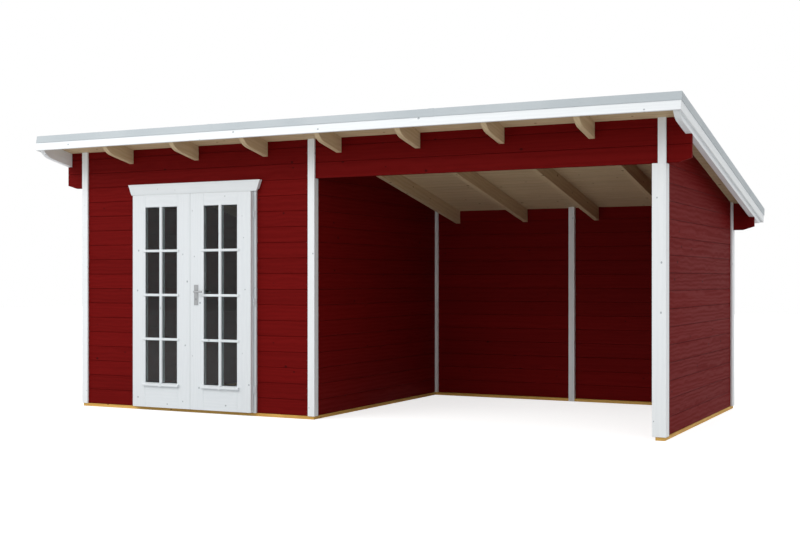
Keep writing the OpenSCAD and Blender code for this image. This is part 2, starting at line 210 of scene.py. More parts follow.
class Effects:
    """The shader groups that several finishes share, each built once."""

    def __init__(self) -> None:
        """Builds every group."""
        self.grain = self._grain()
        self.boards = self._boards()
        self.speckle = self._speckle()
        self.end_grain = self._end_grain()

    @staticmethod
    def _grain() -> bpy.types.NodeTree:
        """Fibres, growth bands and knots; the vector's X runs along the fibres."""
        tree, take, give, g = new_tree("wood_grain", "ShaderNodeTree", {
            "Vector": ("Vector", None), "Fibre Scale": ("Float", 70.0), "Stretch": ("Float", 0.03),
            "Band Scale": ("Float", 9.0), "Knot Spacing": ("Float", 0.42), "Knot Row": ("Float", 0.13),
            "Knot Radius": ("Float", 0.010), "Knot Share": ("Float", 0.5),
        }, {"Streaks": "Float", "Knots": "Float", "Relief": "Float"})
        split = g.add("ShaderNodeSeparateXYZ", {0: take.outputs["Vector"]}).outputs
        cell = g.add("ShaderNodeCombineXYZ", {
            0: g.math("DIVIDE", split[0], take.outputs["Knot Spacing"]),
            1: g.math("DIVIDE", split[1], take.outputs["Knot Row"])}).outputs[0]
        seat = g.add("ShaderNodeTexVoronoi", {"Vector": cell, "Scale": 1.0, "Randomness": 0.85},
                     voronoi_dimensions="2D")
        from_knot = g.vector("SUBTRACT", cell, seat.outputs["Position"])
        away = g.add("ShaderNodeSeparateXYZ", {0: from_knot}).outputs
        run = g.math("MULTIPLY", away[0], take.outputs["Knot Spacing"])
        rise = g.math("MULTIPLY", away[1], take.outputs["Knot Row"])
        distance = g.math("SQRT", g.math("ADD", g.math("MULTIPLY", g.math("MULTIPLY", run, run), 0.6),
                                         g.math("MULTIPLY", rise, rise)))
        chance = g.add("ShaderNodeSeparateColor", {0: seat.outputs["Color"]}).outputs
        there = g.math("LESS_THAN", chance[0], take.outputs["Knot Share"])
        radius = g.math("MULTIPLY", take.outputs["Knot Radius"],
                        g.math("ADD", 0.45, g.math("MULTIPLY", chance[1], 0.9)))
        core = g.spread(g.math("DIVIDE", distance, radius), 0.45, 1.0, 1.0, 0.0)
        knots = g.math("MULTIPLY", core, there)
        swirl = g.math("MULTIPLY", g.math("EXPONENT", g.math("MULTIPLY", distance, -28.0)), there)
        bent = g.math("ADD", split[1],
                      g.math("MULTIPLY", g.math("MULTIPLY", swirl, g.math("SIGN", rise)), 0.012))
        drawn = g.add("ShaderNodeCombineXYZ", {
            0: g.math("MULTIPLY", split[0], take.outputs["Stretch"]), 1: bent, 2: split[2]}).outputs[0]
        fibres = g.add("ShaderNodeTexNoise", {
            "Vector": drawn, "Scale": take.outputs["Fibre Scale"],
            "Detail": 3.0, "Roughness": 0.62}).outputs[0]
        warp = g.add("ShaderNodeTexNoise", {"Vector": drawn, "Scale": 7.0, "Detail": 1.0}).outputs[0]
        shifted = g.add("ShaderNodeCombineXYZ", {
            0: split[0], 1: g.math("ADD", bent, g.math("MULTIPLY", warp, 0.16))}).outputs[0]
        bands = g.add("ShaderNodeTexWave", {
            "Vector": shifted, "Scale": take.outputs["Band Scale"], "Distortion": 3.5, "Detail": 1.0,
            "Detail Scale": 0.6}, bands_direction="Y").outputs["Fac"]
        streaks = g.math("ADD", g.math("MULTIPLY", fibres, 0.78), g.math("MULTIPLY", bands, 0.22))
        g.tree.links.new(streaks, give.inputs["Streaks"])
        g.tree.links.new(knots, give.inputs["Knots"])
        g.tree.links.new(g.math("SUBTRACT", streaks, g.math("MULTIPLY", knots, 0.5)), give.inputs["Relief"])
        return tree

    @staticmethod
    def _boards() -> bpy.types.NodeTree:
        """A tint for each board of a row, the shade in its joints and a shift of its grain."""
        tree, take, give, g = new_tree("board_row", "ShaderNodeTree", {
            "Across": ("Float", 0.0), "Start": ("Float", 0.0), "Cover": ("Float", 0.13),
            "Joint Width": ("Float", 0.006), "Salt": ("Float", 0.0),
        }, {"Tint": "Float", "Joint": "Float", "Shift": "Vector"})
        turn = g.math("DIVIDE", g.math("SUBTRACT", take.outputs["Across"], take.outputs["Start"]),
                      take.outputs["Cover"])
        number = g.math("ADD", g.math("FLOOR", turn), take.outputs["Salt"])
        chance = g.add("ShaderNodeTexWhiteNoise", {"W": number}, noise_dimensions="1D")
        part = g.math("FRACT", turn)
        edge = g.math("MULTIPLY", g.math("MINIMUM", part, g.math("SUBTRACT", 1.0, part)),
                      take.outputs["Cover"])
        g.tree.links.new(chance.outputs["Value"], give.inputs["Tint"])
        g.tree.links.new(g.spread(edge, 0.0, take.outputs["Joint Width"], 1.0, 0.0), give.inputs["Joint"])
        g.tree.links.new(g.vector("MULTIPLY", chance.outputs["Color"], (9.0, 0.0, 3.0)), give.inputs["Shift"])
        return tree

    @staticmethod
    def _speckle() -> bpy.types.NodeTree:
        """Fine grains over soft blotches, for felt, sheet and paint."""
        tree, take, give, g = new_tree("speckle", "ShaderNodeTree", {
            "Vector": ("Vector", None), "Grain Scale": ("Float", 600.0), "Blotch Scale": ("Float", 3.0),
        }, {"Grains": "Float", "Blotches": "Float", "Relief": "Float"})
        grains = g.add("ShaderNodeTexVoronoi", {
            "Vector": take.outputs["Vector"], "Scale": take.outputs["Grain Scale"]})
        blotches = g.add("ShaderNodeTexNoise", {
            "Vector": take.outputs["Vector"], "Scale": take.outputs["Blotch Scale"],
            "Detail": 4.0}).outputs[0]
        value = g.add("ShaderNodeSeparateColor", {0: grains.outputs["Color"]}).outputs[0]
        g.tree.links.new(value, give.inputs["Grains"])
        g.tree.links.new(g.spread(blotches, 0.3, 0.7), give.inputs["Blotches"])
        g.tree.links.new(g.math("SUBTRACT", 1.0, grains.outputs["Distance"]), give.inputs["Relief"])
        return tree

    @staticmethod
    def _end_grain() -> bpy.types.NodeTree:
        """Rings on faces square to the fibres, and a mask of those faces."""
        tree, take, give, g = new_tree("end_grain", "ShaderNodeTree", {
            "Vector": ("Vector", None), "Facing": ("Float", 0.0), "Ring Scale": ("Float", 60.0),
        }, {"Rings": "Float", "Ends": "Float"})
        split = g.add("ShaderNodeSeparateXYZ", {0: take.outputs["Vector"]}).outputs
        flat = g.add("ShaderNodeCombineXYZ", {1: g.math("ADD", split[1], 0.05), 2: split[2]}).outputs[0]
        rings = g.add("ShaderNodeTexWave", {
            "Vector": flat, "Scale": take.outputs["Ring Scale"], "Distortion": 2.0, "Detail": 2.0},
            wave_type="RINGS").outputs["Fac"]
        g.tree.links.new(rings, give.inputs["Rings"])
        g.tree.links.new(g.spread(g.math("ABSOLUTE", take.outputs["Facing"]), 0.6, 0.8), give.inputs["Ends"])
        return tree


# ---------------------------------------------------------------- finishes


@dataclass(frozen=True)
class Fibres:
    """How the fibres lie: along an axis, after a turn about X for work on the slope."""

    axis: Axis
    tilt: float = 0.0


@dataclass(frozen=True)
class BoardRow:
    """A row of boards: where it starts across the boards, and the cover of each."""

    start: float
    cover: float = BOARD_COVER
    salt: float = 0.0


@dataclass(frozen=True)
class Wood:
    """Timber under stain, under paint or bare."""

    name: str
    slot: Slot
    base: Colour
    dark: Colour
    knot: Colour
    roughness: float
    specular: float
    contrast: float
    knot_share: float
    knot_radius: float
    relief: float
    tint: float = 0.1
    joint: float = 0.5
    ends: float = 0.35

    def material(self, effects: Effects, fibres: Fibres, row: BoardRow | None = None) -> bpy.types.Material:
        """The finish for one way of lying.

        Args:
            effects: The shared shader groups.
            fibres: How the fibres lie.
            row: The row of boards, where the piece is one.

        Returns:
            The material, built once for each combination.
        """
        turn = "_slope" if fibres.tilt else ""
        row_name = f"_row{round(row.salt)}" if row else ""
        name = f"{self.name}_{fibres.axis.name.lower()}{turn}{row_name}"
        if name in bpy.data.materials:
            return bpy.data.materials[name]
        material = bpy.data.materials.new(name)
        material.use_nodes = True
        g = Graph(material.node_tree)
        place = g.add("ShaderNodeTexCoord").outputs["Object"]
        normal = g.add("ShaderNodeTexCoord").outputs["Normal"]
        if fibres.tilt:
            place = g.add("ShaderNodeMapping", {"Vector": place, "Rotation": (fibres.tilt, 0, 0)}).outputs[0]
            turned = g.add("ShaderNodeMapping", {"Vector": normal, "Rotation": (fibres.tilt, 0, 0)})
            normal = turned.outputs[0]
        xyz = g.add("ShaderNodeSeparateXYZ", {0: place}).outputs
        facing = g.add("ShaderNodeSeparateXYZ", {0: normal}).outputs[fibres.axis.value]
        level = {Axis.X: (xyz[0], xyz[2], xyz[1]), Axis.Y: (xyz[1], xyz[2], xyz[0]),
                 Axis.Z: (xyz[2], xyz[0], xyz[1])}[fibres.axis]
        if fibres.tilt and fibres.axis is Axis.X:
            level = (xyz[0], xyz[1], xyz[2])
        across = g.math("ADD", level[1], g.math("MULTIPLY", level[2], 0.93))
        grain_place = g.add("ShaderNodeCombineXYZ", {0: level[0], 1: across, 2: level[2]}).outputs[0]
        factor = self._board_factor(g, effects, row, level[1]) if row else None
        if factor:
            grain_place = g.vector("ADD", grain_place, factor.outputs["Shift"])
        grain = g.use(effects.grain, {"Vector": grain_place, "Knot Share": self.knot_share,
                                      "Knot Radius": self.knot_radius}).outputs
        wave = g.spread(grain["Streaks"], 0.30, 0.72)
        colour = g.blend(g.math("MULTIPLY", wave, self.contrast), self.base, self.dark)
        colour = g.blend(g.math("MULTIPLY", grain["Knots"], 0.85), colour, self.knot)
        end = g.use(effects.end_grain, {"Vector": grain_place, "Facing": facing}).outputs
        rings = g.blend(g.math("MULTIPLY", end["Rings"], 0.7), self.base, self.dark)
        colour = g.blend(g.math("MULTIPLY", end["Ends"], self.ends), colour, rings)
        if factor:
            lift = g.math("ADD", 1.0 - self.tint, g.math("MULTIPLY", factor.outputs["Tint"], 2 * self.tint))
            shade = g.math("SUBTRACT", lift, g.math("MULTIPLY", factor.outputs["Joint"], self.joint))
            grey = g.add("ShaderNodeCombineColor", {0: shade, 1: shade, 2: shade}).outputs[0]
            colour = g.blend(1.0, colour, grey, "MULTIPLY")
        rough = g.math("ADD", self.roughness, g.math("MULTIPLY", g.math("SUBTRACT", wave, 0.5), 0.12))
        bump = g.add("ShaderNodeBump", {"Height": grain["Relief"], "Strength": 0.6, "Distance": self.relief})
        shader = g.add("ShaderNodeBsdfPrincipled", {
            "Base Color": colour, "Roughness": rough, "Normal": bump.outputs[0],
            "Specular IOR Level": self.specular})
        g.add("ShaderNodeOutputMaterial", {"Surface": shader.outputs[0]})
        return material

    @staticmethod
    def _board_factor(g: Graph, effects: Effects, row: BoardRow, across: Any) -> Any:
        """Places the board row's group for this finish."""
        return g.use(effects.boards, {"Across": across, "Start": row.start, "Cover": row.cover,
                                      "Salt": row.salt})


@dataclass(frozen=True)
class Speckled:
    """Felt, coated sheet or another plain surface with grains and blotches."""

    name: str
    slot: Slot
    base: Colour
    other: Colour
    roughness: float
    grain_scale: float
    grains: float
    blotches: float
    relief: float
    metallic: float = 0.0
    specular: float = 0.5

    def material(self, effects: Effects) -> bpy.types.Material:
        """The finish, built once.

        Args:
            effects: The shared shader groups.

        Returns:
            The material.
        """
        if self.name in bpy.data.materials:
            return bpy.data.materials[self.name]
        material = bpy.data.materials.new(self.name)
        material.use_nodes = True
        g = Graph(material.node_tree)
        place = g.add("ShaderNodeTexCoord").outputs["Object"]
        spots = g.use(effects.speckle, {"Vector": place, "Grain Scale": self.grain_scale}).outputs
        share = g.math("ADD", g.math("MULTIPLY", spots["Grains"], self.grains),
                       g.math("MULTIPLY", spots["Blotches"], self.blotches), clamp=True)
        rough = g.math("ADD", self.roughness, g.math("MULTIPLY", spots["Blotches"], 0.1))
        bump = g.add("ShaderNodeBump", {"Height": spots["Relief"], "Strength": 0.7, "Distance": self.relief})
        shader = g.add("ShaderNodeBsdfPrincipled", {
            "Base Color": g.blend(share, self.base, self.other), "Roughness": rough,
            "Metallic": self.metallic, "Normal": bump.outputs[0], "Specular IOR Level": self.specular})
        g.add("ShaderNodeOutputMaterial", {"Surface": shader.outputs[0]})
        return material


@dataclass(frozen=True)
class Brushed:
    """Brushed steel, with fine lines along one axis."""

    name: str = "brushed_steel"
    slot: Slot = Slot.STEEL
    base: Colour = srgb(176, 178, 180)
    other: Colour = srgb(132, 134, 136)
    stretch: Point = (40.0, 900.0)

    def material(self, effects: Effects) -> bpy.types.Material:
        """The finish, built once.

        Args:
            effects: The shared shader groups.

        Returns:
            The material.
        """
        if self.name in bpy.data.materials:
            return bpy.data.materials[self.name]
        material = bpy.data.materials.new(self.name)
        material.use_nodes = True
        g = Graph(material.node_tree)
        place = g.add("ShaderNodeTexCoord").outputs["Object"]
        along, fine = self.stretch
        drawn = g.add("ShaderNodeMapping", {"Vector": place, "Scale": (fine, fine, along)}).outputs[0]
        lines = g.add("ShaderNodeTexNoise", {"Vector": drawn, "Scale": 1.0, "Detail": 3.0}).outputs[0]
        spots = g.use(effects.speckle, {"Vector": place, "Blotch Scale": 12.0}).outputs
        tone = g.blend(lines, self.base, self.other)
        rough = g.math("ADD", 0.27, g.math("MULTIPLY", g.math("ADD", lines, spots["Blotches"]), 0.12))
        bump = g.add("ShaderNodeBump", {"Height": lines, "Strength": 0.3, "Distance": 0.0002})
        shader = g.add("ShaderNodeBsdfPrincipled", {
            "Base Color": tone, "Roughness": rough, "Metallic": 1.0, "Normal": bump.outputs[0]})
        g.add("ShaderNodeOutputMaterial", {"Surface": shader.outputs[0]})
        return material


@dataclass(frozen=True)
class Glass:
    """Clear float glass with a little dust."""

    name: str = "float_glass"
    slot: Slot = Slot.GLASS

    def material(self, effects: Effects) -> bpy.types.Material:
        """The finish, built once.

        Args:
            effects: The shared shader groups.

        Returns:
            The material.
        """
        if self.name in bpy.data.materials:
            return bpy.data.materials[self.name]
        material = bpy.data.materials.new(self.name)
        material.use_nodes = True
        g = Graph(material.node_tree)
        place = g.add("ShaderNodeTexCoord").outputs["Object"]
        spots = g.use(effects.speckle, {"Vector": place, "Blotch Scale": 2.2}).outputs
        rough = g.math("MULTIPLY", spots["Blotches"], 0.03)
        ripple = g.add("ShaderNodeTexNoise", {"Vector": place, "Scale": 2.5, "Detail": 0.0}).outputs[0]
        bump = g.add("ShaderNodeBump", {"Height": ripple, "Strength": 0.25, "Distance": 0.002})
        shader = g.add("ShaderNodeBsdfPrincipled", {
            "Base Color": (0.62, 0.66, 0.66, 1.0), "Roughness": rough, "Transmission Weight": 1.0,
            "IOR": 1.28, "Normal": bump.outputs[0]})
        g.add("ShaderNodeOutputMaterial", {"Surface": shader.outputs[0]})
        return material


RED_STAIN = Wood("red_stain", Slot.BOARDS, srgb(110, 12, 11), srgb(93, 8, 8), srgb(56, 6, 7),
                 roughness=0.66, specular=0.045, contrast=0.5, knot_share=0.34, knot_radius=0.010,
                 relief=0.0004, tint=0.06, joint=0.25, ends=0.2)
WHITE_PAINT = Wood("white_paint", Slot.WHITE, srgb(240, 244, 246), srgb(226, 231, 234), srgb(160, 168, 172),
                   roughness=0.50, specular=0.3, contrast=0.25, knot_share=0.5, knot_radius=0.0075,
                   relief=0.0002, ends=0.1)
DOOR_PAINT = Wood("door_paint", Slot.WHITE, srgb(226, 231, 234), srgb(212, 218, 222), srgb(142, 150, 154),
                  roughness=0.42, specular=0.3, contrast=0.25, knot_share=0.85, knot_radius=0.0075,
                  relief=0.0002, ends=0.1)
BARE_PINE = Wood("bare_pine", Slot.PINE, srgb(208, 186, 150), srgb(182, 156, 118), srgb(118, 82, 52),
                 roughness=0.62, specular=0.3, contrast=0.45, knot_share=0.6, knot_radius=0.011,
                 relief=0.0004, tint=0.05, joint=0.2)
SILL_TIMBER = Wood("sill_timber", Slot.SILL, srgb(228, 184, 98), srgb(192, 142, 62), srgb(118, 74, 30),
                   roughness=0.66, specular=0.3, contrast=0.7, knot_share=0.5, knot_radius=0.010,
                   relief=0.0006, ends=0.8)
ROOF_FELT = Speckled("mineral_felt", Slot.FELT, srgb(92, 96, 100), srgb(58, 61, 65), roughness=0.88,
                     grain_scale=420.0, grains=0.6, blotches=0.14, relief=0.0008, specular=0.25)
COATED_SHEET = Speckled("coated_sheet", Slot.TRIM, srgb(184, 192, 196), srgb(174, 183, 188), roughness=0.46,
                        grain_scale=900.0, grains=0.2, blotches=0.4, relief=0.00005, specular=0.5)
ZINC = Speckled("zinc_plating", Slot.STEEL, srgb(178, 182, 186), srgb(140, 145, 150), roughness=0.42,
                grain_scale=160.0, grains=0.4, blotches=0.4, relief=0.00008, metallic=0.9)
HINGE_COAT = Speckled("hinge_coat", Slot.STEEL, srgb(224, 229, 232), srgb(212, 218, 222), roughness=0.4,
                      grain_scale=500.0, grains=0.2, blotches=0.4, relief=0.00006, specular=0.4)
SEAL = Speckled("pale_seal", Slot.WHITE, srgb(214, 218, 220), srgb(196, 200, 202), roughness=0.7,
                grain_scale=700.0, grains=0.2, blotches=0.3, relief=0.0001, specular=0.3)
# Near-black keyhole finish: painted shade that stands in for the dark hollow of the key slot.
KEYHOLE_SHADE = Speckled("key_slot", Slot.STEEL, srgb(40, 41, 42), srgb(24, 25, 26), roughness=0.5,
                     grain_scale=800.0, grains=0.4, blotches=0.3, relief=0.0001, metallic=0.5)


# ---------------------------------------------------------------- meshes


class Shape:
    """A mesh under construction."""

    def __init__(self) -> None:
        """Starts with nothing."""
        self.bm = bmesh.new()

    @classmethod
    def of_node(cls, node: str) -> Shape:
        """A merged copy of a CAD node."""
        shape = cls()
        shape.bm.from_mesh(bpy.data.objects[node].data)
        bmesh.ops.remove_doubles(shape.bm, verts=shape.bm.verts, dist=MERGE)
        bmesh.ops.dissolve_limit(shape.bm, angle_limit=FLAT, verts=shape.bm.verts, edges=shape.bm.edges)
        return shape

    def prism(self, axis: Axis, start: float, end: float, outline: Sequence[Point]) -> Shape:
        """Adds an outline drawn out along an axis.

        Args:
            axis: The direction of the length.
            start: Where it begins along the axis.
            end: Where it ends.
            outline: Points in the other two axes, in their order.

        Returns:
            The shape itself.
        """
        others = [i for i in range(3) if i != axis.value]
        rings = []
        for place in (start, end):
            ring = []
            for point in outline:
                corner = [0.0, 0.0, 0.0]
                corner[axis.value] = place
                corner[others[0]], corner[others[1]] = point
                ring.append(self.bm.verts.new(corner))
            rings.append(ring)
        self._skin(rings, closed=True)
        return self

    def block(self, low: Sequence[float], high: Sequence[float]) -> Shape:
        """Adds a block between two corners."""
        (x0, y0, z0), (x1, y1, z1) = low, high
        return self.prism(Axis.X, x0, x1, [(y0, z0), (y1, z0), (y1, z1), (y0, z1)])

    def loft(self, rings: Sequence[Sequence[Vector]]) -> Shape:
        """Adds a closed skin through rings with as many points each."""
        self._skin([[self.bm.verts.new(p) for p in ring] for ring in rings], closed=True)
        return self

    def frame(self, low: Point, high: Point, profile: Sequence[Point]) -> Shape:
        """Adds a mitred frame that stands in X and Z.

        Args:
            low: Its outer low corner.
            high: Its outer high corner.
            profile: Points as inset from the outer edge, and Y.

        Returns:
            The shape itself.
        """
        loops = []
        for inset, y in profile:
            x0, z0, x1, z1 = low[0] + inset, low[1] + inset, high[0] - inset, high[1] - inset
            loops.append([self.bm.verts.new(p) for p in
                          ((x0, y, z0), (x1, y, z0), (x1, y, z1), (x0, y, z1))])
        for first, second in zip(loops, loops[1:] + loops[:1]):
            for k in range(4):
                self.bm.faces.new((first[k], first[(k + 1) % 4], second[(k + 1) % 4], second[k]))
        return self

    def _skin(self, rings: list[list[Any]], closed: bool) -> None:
        """Joins rings by quads, and caps the first and last."""
        for first, second in zip(rings, rings[1:]):
            for k in range(len(first)):
                n = (k + 1) % len(first)
                self.bm.faces.new((first[k], first[n], second[n], second[k]))
        if closed:
            self.bm.faces.new(rings[0])
            self.bm.faces.new(rings[-1])

    def ease(self, width: float, segments: int = 2, sharper_than: float = CREASE) -> Shape:
        """Rounds every edge that is sharper than an angle."""
        bmesh.ops.recalc_face_normals(self.bm, faces=self.bm.faces)
        edges = [e for e in self.bm.edges if len(e.link_faces) == 2 and e.calc_face_angle(0.0) > sharper_than]
        bmesh.ops.bevel(self.bm, geom=edges, offset=width, segments=segments, profile=0.5,
                        affect="EDGES", clamp_overlap=True)
        return self

    def turn(self, matrix: Matrix) -> Shape:
        """Moves the whole shape."""
        self.bm.transform(matrix)
        return self

    def piece(self, name: str, material: bpy.types.Material, smooth: float = 0.0) -> bpy.types.Object:
        """Ends the shape as an object.

        Args:
            name: The object's name.
            material: Its only material.
            smooth: The angle under which faces are shaded as one, in radians.

        Returns:
            The linked object, at the origin.
        """
        bmesh.ops.recalc_face_normals(self.bm, faces=self.bm.faces)
        mesh = bpy.data.meshes.new(name)
        self.bm.to_mesh(mesh)
        self.bm.free()
        mesh.materials.append(material)
        if smooth:
            mesh.polygons.foreach_set("use_smooth", [True] * len(mesh.polygons))
            mesh.set_sharp_from_angle(angle=smooth)
        made = bpy.data.objects.new(name, mesh)
        bpy.context.scene.collection.objects.link(made)
        return made


def settle(piece: bpy.types.Object, material: bpy.types.Material | None = None) -> bpy.types.Object:
    """Makes a piece's modifiers real and takes them off.

    Args:
        piece: The object with live modifiers.
        material: The only material of the result, where it is given.

    Returns:
        The same object with a plain mesh.
    """
    bpy.context.view_layer.update()
    graph = bpy.context.evaluated_depsgraph_get()
    mesh = bpy.data.meshes.new_from_object(piece.evaluated_get(graph))
    piece.modifiers.clear()
    piece.data = mesh
    mesh.name = piece.name
    if material:
        mesh.materials.clear()
        mesh.materials.append(material)
        mesh.polygons.foreach_set("material_index", [0] * len(mesh.polygons))
    return piece


def run_tree(piece: bpy.types.Object, tree: bpy.types.NodeTree, values: dict[str, Any]) -> bpy.types.Object:
    """Puts a piece through a geometry tree and keeps the result.

    Args:
        piece: The object that carries the input mesh.
        tree: The geometry tree.
        values: Input name to value.

    Returns:
        The same object with the result as its mesh.
    """
    modifier = piece.modifiers.new(tree.name, "NODES")
    modifier.node_group = tree
    for item in tree.interface.items_tree:
        if item.item_type == "SOCKET" and item.in_out == "INPUT" and item.name in values:
            modifier[item.identifier] = values[item.name]
    return settle(piece)


class Repeats:
    """The geometry trees for what repeats."""

    def __init__(self) -> None:
        """Builds both trees."""
        self.row = self._row()
        self.heads = self._heads()

    @staticmethod
    def _row() -> bpy.types.NodeTree:
        """An even row of copies of the carried mesh, each a hair out of line."""
        tree, take, give, g = new_tree("even_row", "GeometryNodeTree", {
            "Geometry": ("Geometry", None), "Count": ("Int", 2), "Step": ("Vector", (0, 0, 0.13)),
            "Play": ("Vector", (0, 0, 0)), "Seed": ("Int", 3), "Material": ("Material", None),
        }, {"Geometry": "Geometry"})
        line = g.add("GeometryNodeMeshLine", {"Count": take.outputs["Count"], "Offset": take.outputs["Step"]})
        copies = g.add("GeometryNodeInstanceOnPoints", {
            "Points": line.outputs[0], "Instance": take.outputs["Geometry"]})
        play = g.add("FunctionNodeRandomValue", {
            0: (0, 0, 0), 1: take.outputs["Play"], 8: take.outputs["Seed"]}, data_type="FLOAT_VECTOR")
        moved = g.add("GeometryNodeTranslateInstances", {
            "Instances": copies.outputs[0], "Translation": play.outputs[0]})
        real = g.add("GeometryNodeRealizeInstances", {0: moved.outputs[0]})
        dressed = g.add("GeometryNodeSetMaterial", {
            "Geometry": real.outputs[0], "Material": take.outputs["Material"]})
        tree.links.new(dressed.outputs[0], give.inputs[0])
        return tree

    @staticmethod
    def _heads() -> bpy.types.NodeTree:
        """A domed nail or screw head on every carried point."""
        tree, take, give, g = new_tree("fastener_heads", "GeometryNodeTree", {
            "Geometry": ("Geometry", None), "Radius": ("Float", 0.003), "Dome": ("Float", 0.001),
            "Facing": ("Rotation", None), "Seed": ("Int", 5), "Material": ("Material", None),
        }, {"Geometry": "Geometry"})
        ball = g.add("GeometryNodeMeshUVSphere", {"Segments": 10, "Rings": 6, "Radius": 1.0})
        size = g.add("ShaderNodeCombineXYZ", {
            0: take.outputs["Radius"], 1: take.outputs["Radius"], 2: take.outputs["Dome"]})
        head = g.add("GeometryNodeTransform", {"Geometry": ball.outputs[0], "Scale": size.outputs[0]})
        spread = g.add("FunctionNodeRandomValue", {2: 0.9, 3: 1.1, 8: take.outputs["Seed"]},
                       data_type="FLOAT")
        copies = g.add("GeometryNodeInstanceOnPoints", {
            "Points": take.outputs["Geometry"], "Instance": head.outputs[0],
            "Rotation": take.outputs["Facing"], "Scale": spread.outputs[1]})
        real = g.add("GeometryNodeRealizeInstances", {0: copies.outputs[0]})
        dressed = g.add("GeometryNodeSetMaterial", {
            "Geometry": real.outputs[0], "Material": take.outputs["Material"]})
        tree.links.new(dressed.outputs[0], give.inputs[0])
        return tree


# ---------------------------------------------------------------- the workshop


@dataclass
class Workshop:
    """What every sub-assembly needs: shared groups, trees and the places of the frame."""

    effects: Effects
    repeats: Repeats
    front_y: float = field(init=False)
    sill_top: float = field(init=False)
    deck_foot: float = field(init=False)
    slope: Matrix = field(init=False)

    def __post_init__(self) -> None:
        """Reads the shared places from the frame."""
        low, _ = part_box("front_wall_left")
        _, deck_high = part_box("roof_deck")
        deck_low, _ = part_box("roof_deck")
        self.front_y, self.sill_top = low.y, low.z
        run = deck_high.y - deck_low.y
        thickness = (deck_high.z - deck_low.z - run * math.tan(SLOPE)) / (
            math.cos(SLOPE) - math.sin(SLOPE) * math.tan(SLOPE))
        front_s = (deck_low.y - self.front_y) / math.cos(SLOPE)
        self.deck_foot = deck_high.z - thickness * math.cos(SLOPE) + front_s * math.sin(SLOPE)
        self.slope = (Matrix.Translation((0, self.front_y, self.deck_foot))
                      @ Matrix.Rotation(-SLOPE, 4, "X"))

    def on_slope(self, node: str) -> tuple[Vector, Vector]:
        """The box of a CAD node along and square to the roof's slope."""
        back = self.slope.inverted()
        points = [back @ v.co for v in bpy.data.objects[node].data.vertices]
        low = Vector([min(p[i] for p in points) for i in range(3)])
        high = Vector([max(p[i] for p in points) for i in range(3)])
        return low, high

    def fit(self, piece: bpy.types.Object, body: Body, slot: Slot, *nodes: str) -> None:
        """Fastens a finished piece to its body and hides the CAD nodes that it stands for."""
        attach(piece, body.value)
        if nodes:
            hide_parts(*nodes)
        LOG.info("%s: %d faces on %s", piece.name, len(piece.data.polygons), body.value)

    def eased(self, node: str, name: str, finish: Wood | Speckled, body: Body = Body.BUILDING,
              fibres: Fibres | None = None, width: float = 0.002) -> bpy.types.Object:
        """Stands an eased copy in the place of a CAD node.

        Args:
            node: The CAD node.
            name: The new piece's name.
            finish: Its finish.
            body: The body that it rides on.
            fibres: How its fibres lie, where it is timber.
            width: The width of the rounding.

        Returns:
            The new piece.
        """
        material = finish.material(self.effects, fibres) if fibres else finish.material(self.effects)
        piece = Shape.of_node(node).ease(width).piece(name, material)
        self.fit(piece, body, finish.slot, node)
        return piece

    def heads(self, name: str, points: Iterable[Vector], facing: Vector, radius: float, dome: float,
              material: bpy.types.Material, slot: Slot, body: Body = Body.BUILDING) -> bpy.types.Object:
        """Sets a nail or screw head on each point.

        Args:
            name: The piece's name.
            points: Where the heads sit.
            facing: The direction that they face.
            radius: The radius of a head.
            dome: How far a head stands out.
            material: Their material.
            slot: The record's slot; not used.
            body: The body that they ride on.

        Returns:
            The new piece.
        """
        mesh = bpy.data.meshes.new(name)
        mesh.from_pydata([tuple(p) for p in points], [], [])
        piece = bpy.data.objects.new(name, mesh)
        bpy.context.scene.collection.objects.link(piece)
        turn = Vector((0, 0, 1)).rotation_difference(facing).to_euler()
        run_tree(piece, self.repeats.heads, {
            "Radius": radius, "Dome": dome, "Facing": tuple(turn), "Material": material})
        self.fit(piece, body, slot)
        return piece


# ---------------------------------------------------------------- sub-assemblies


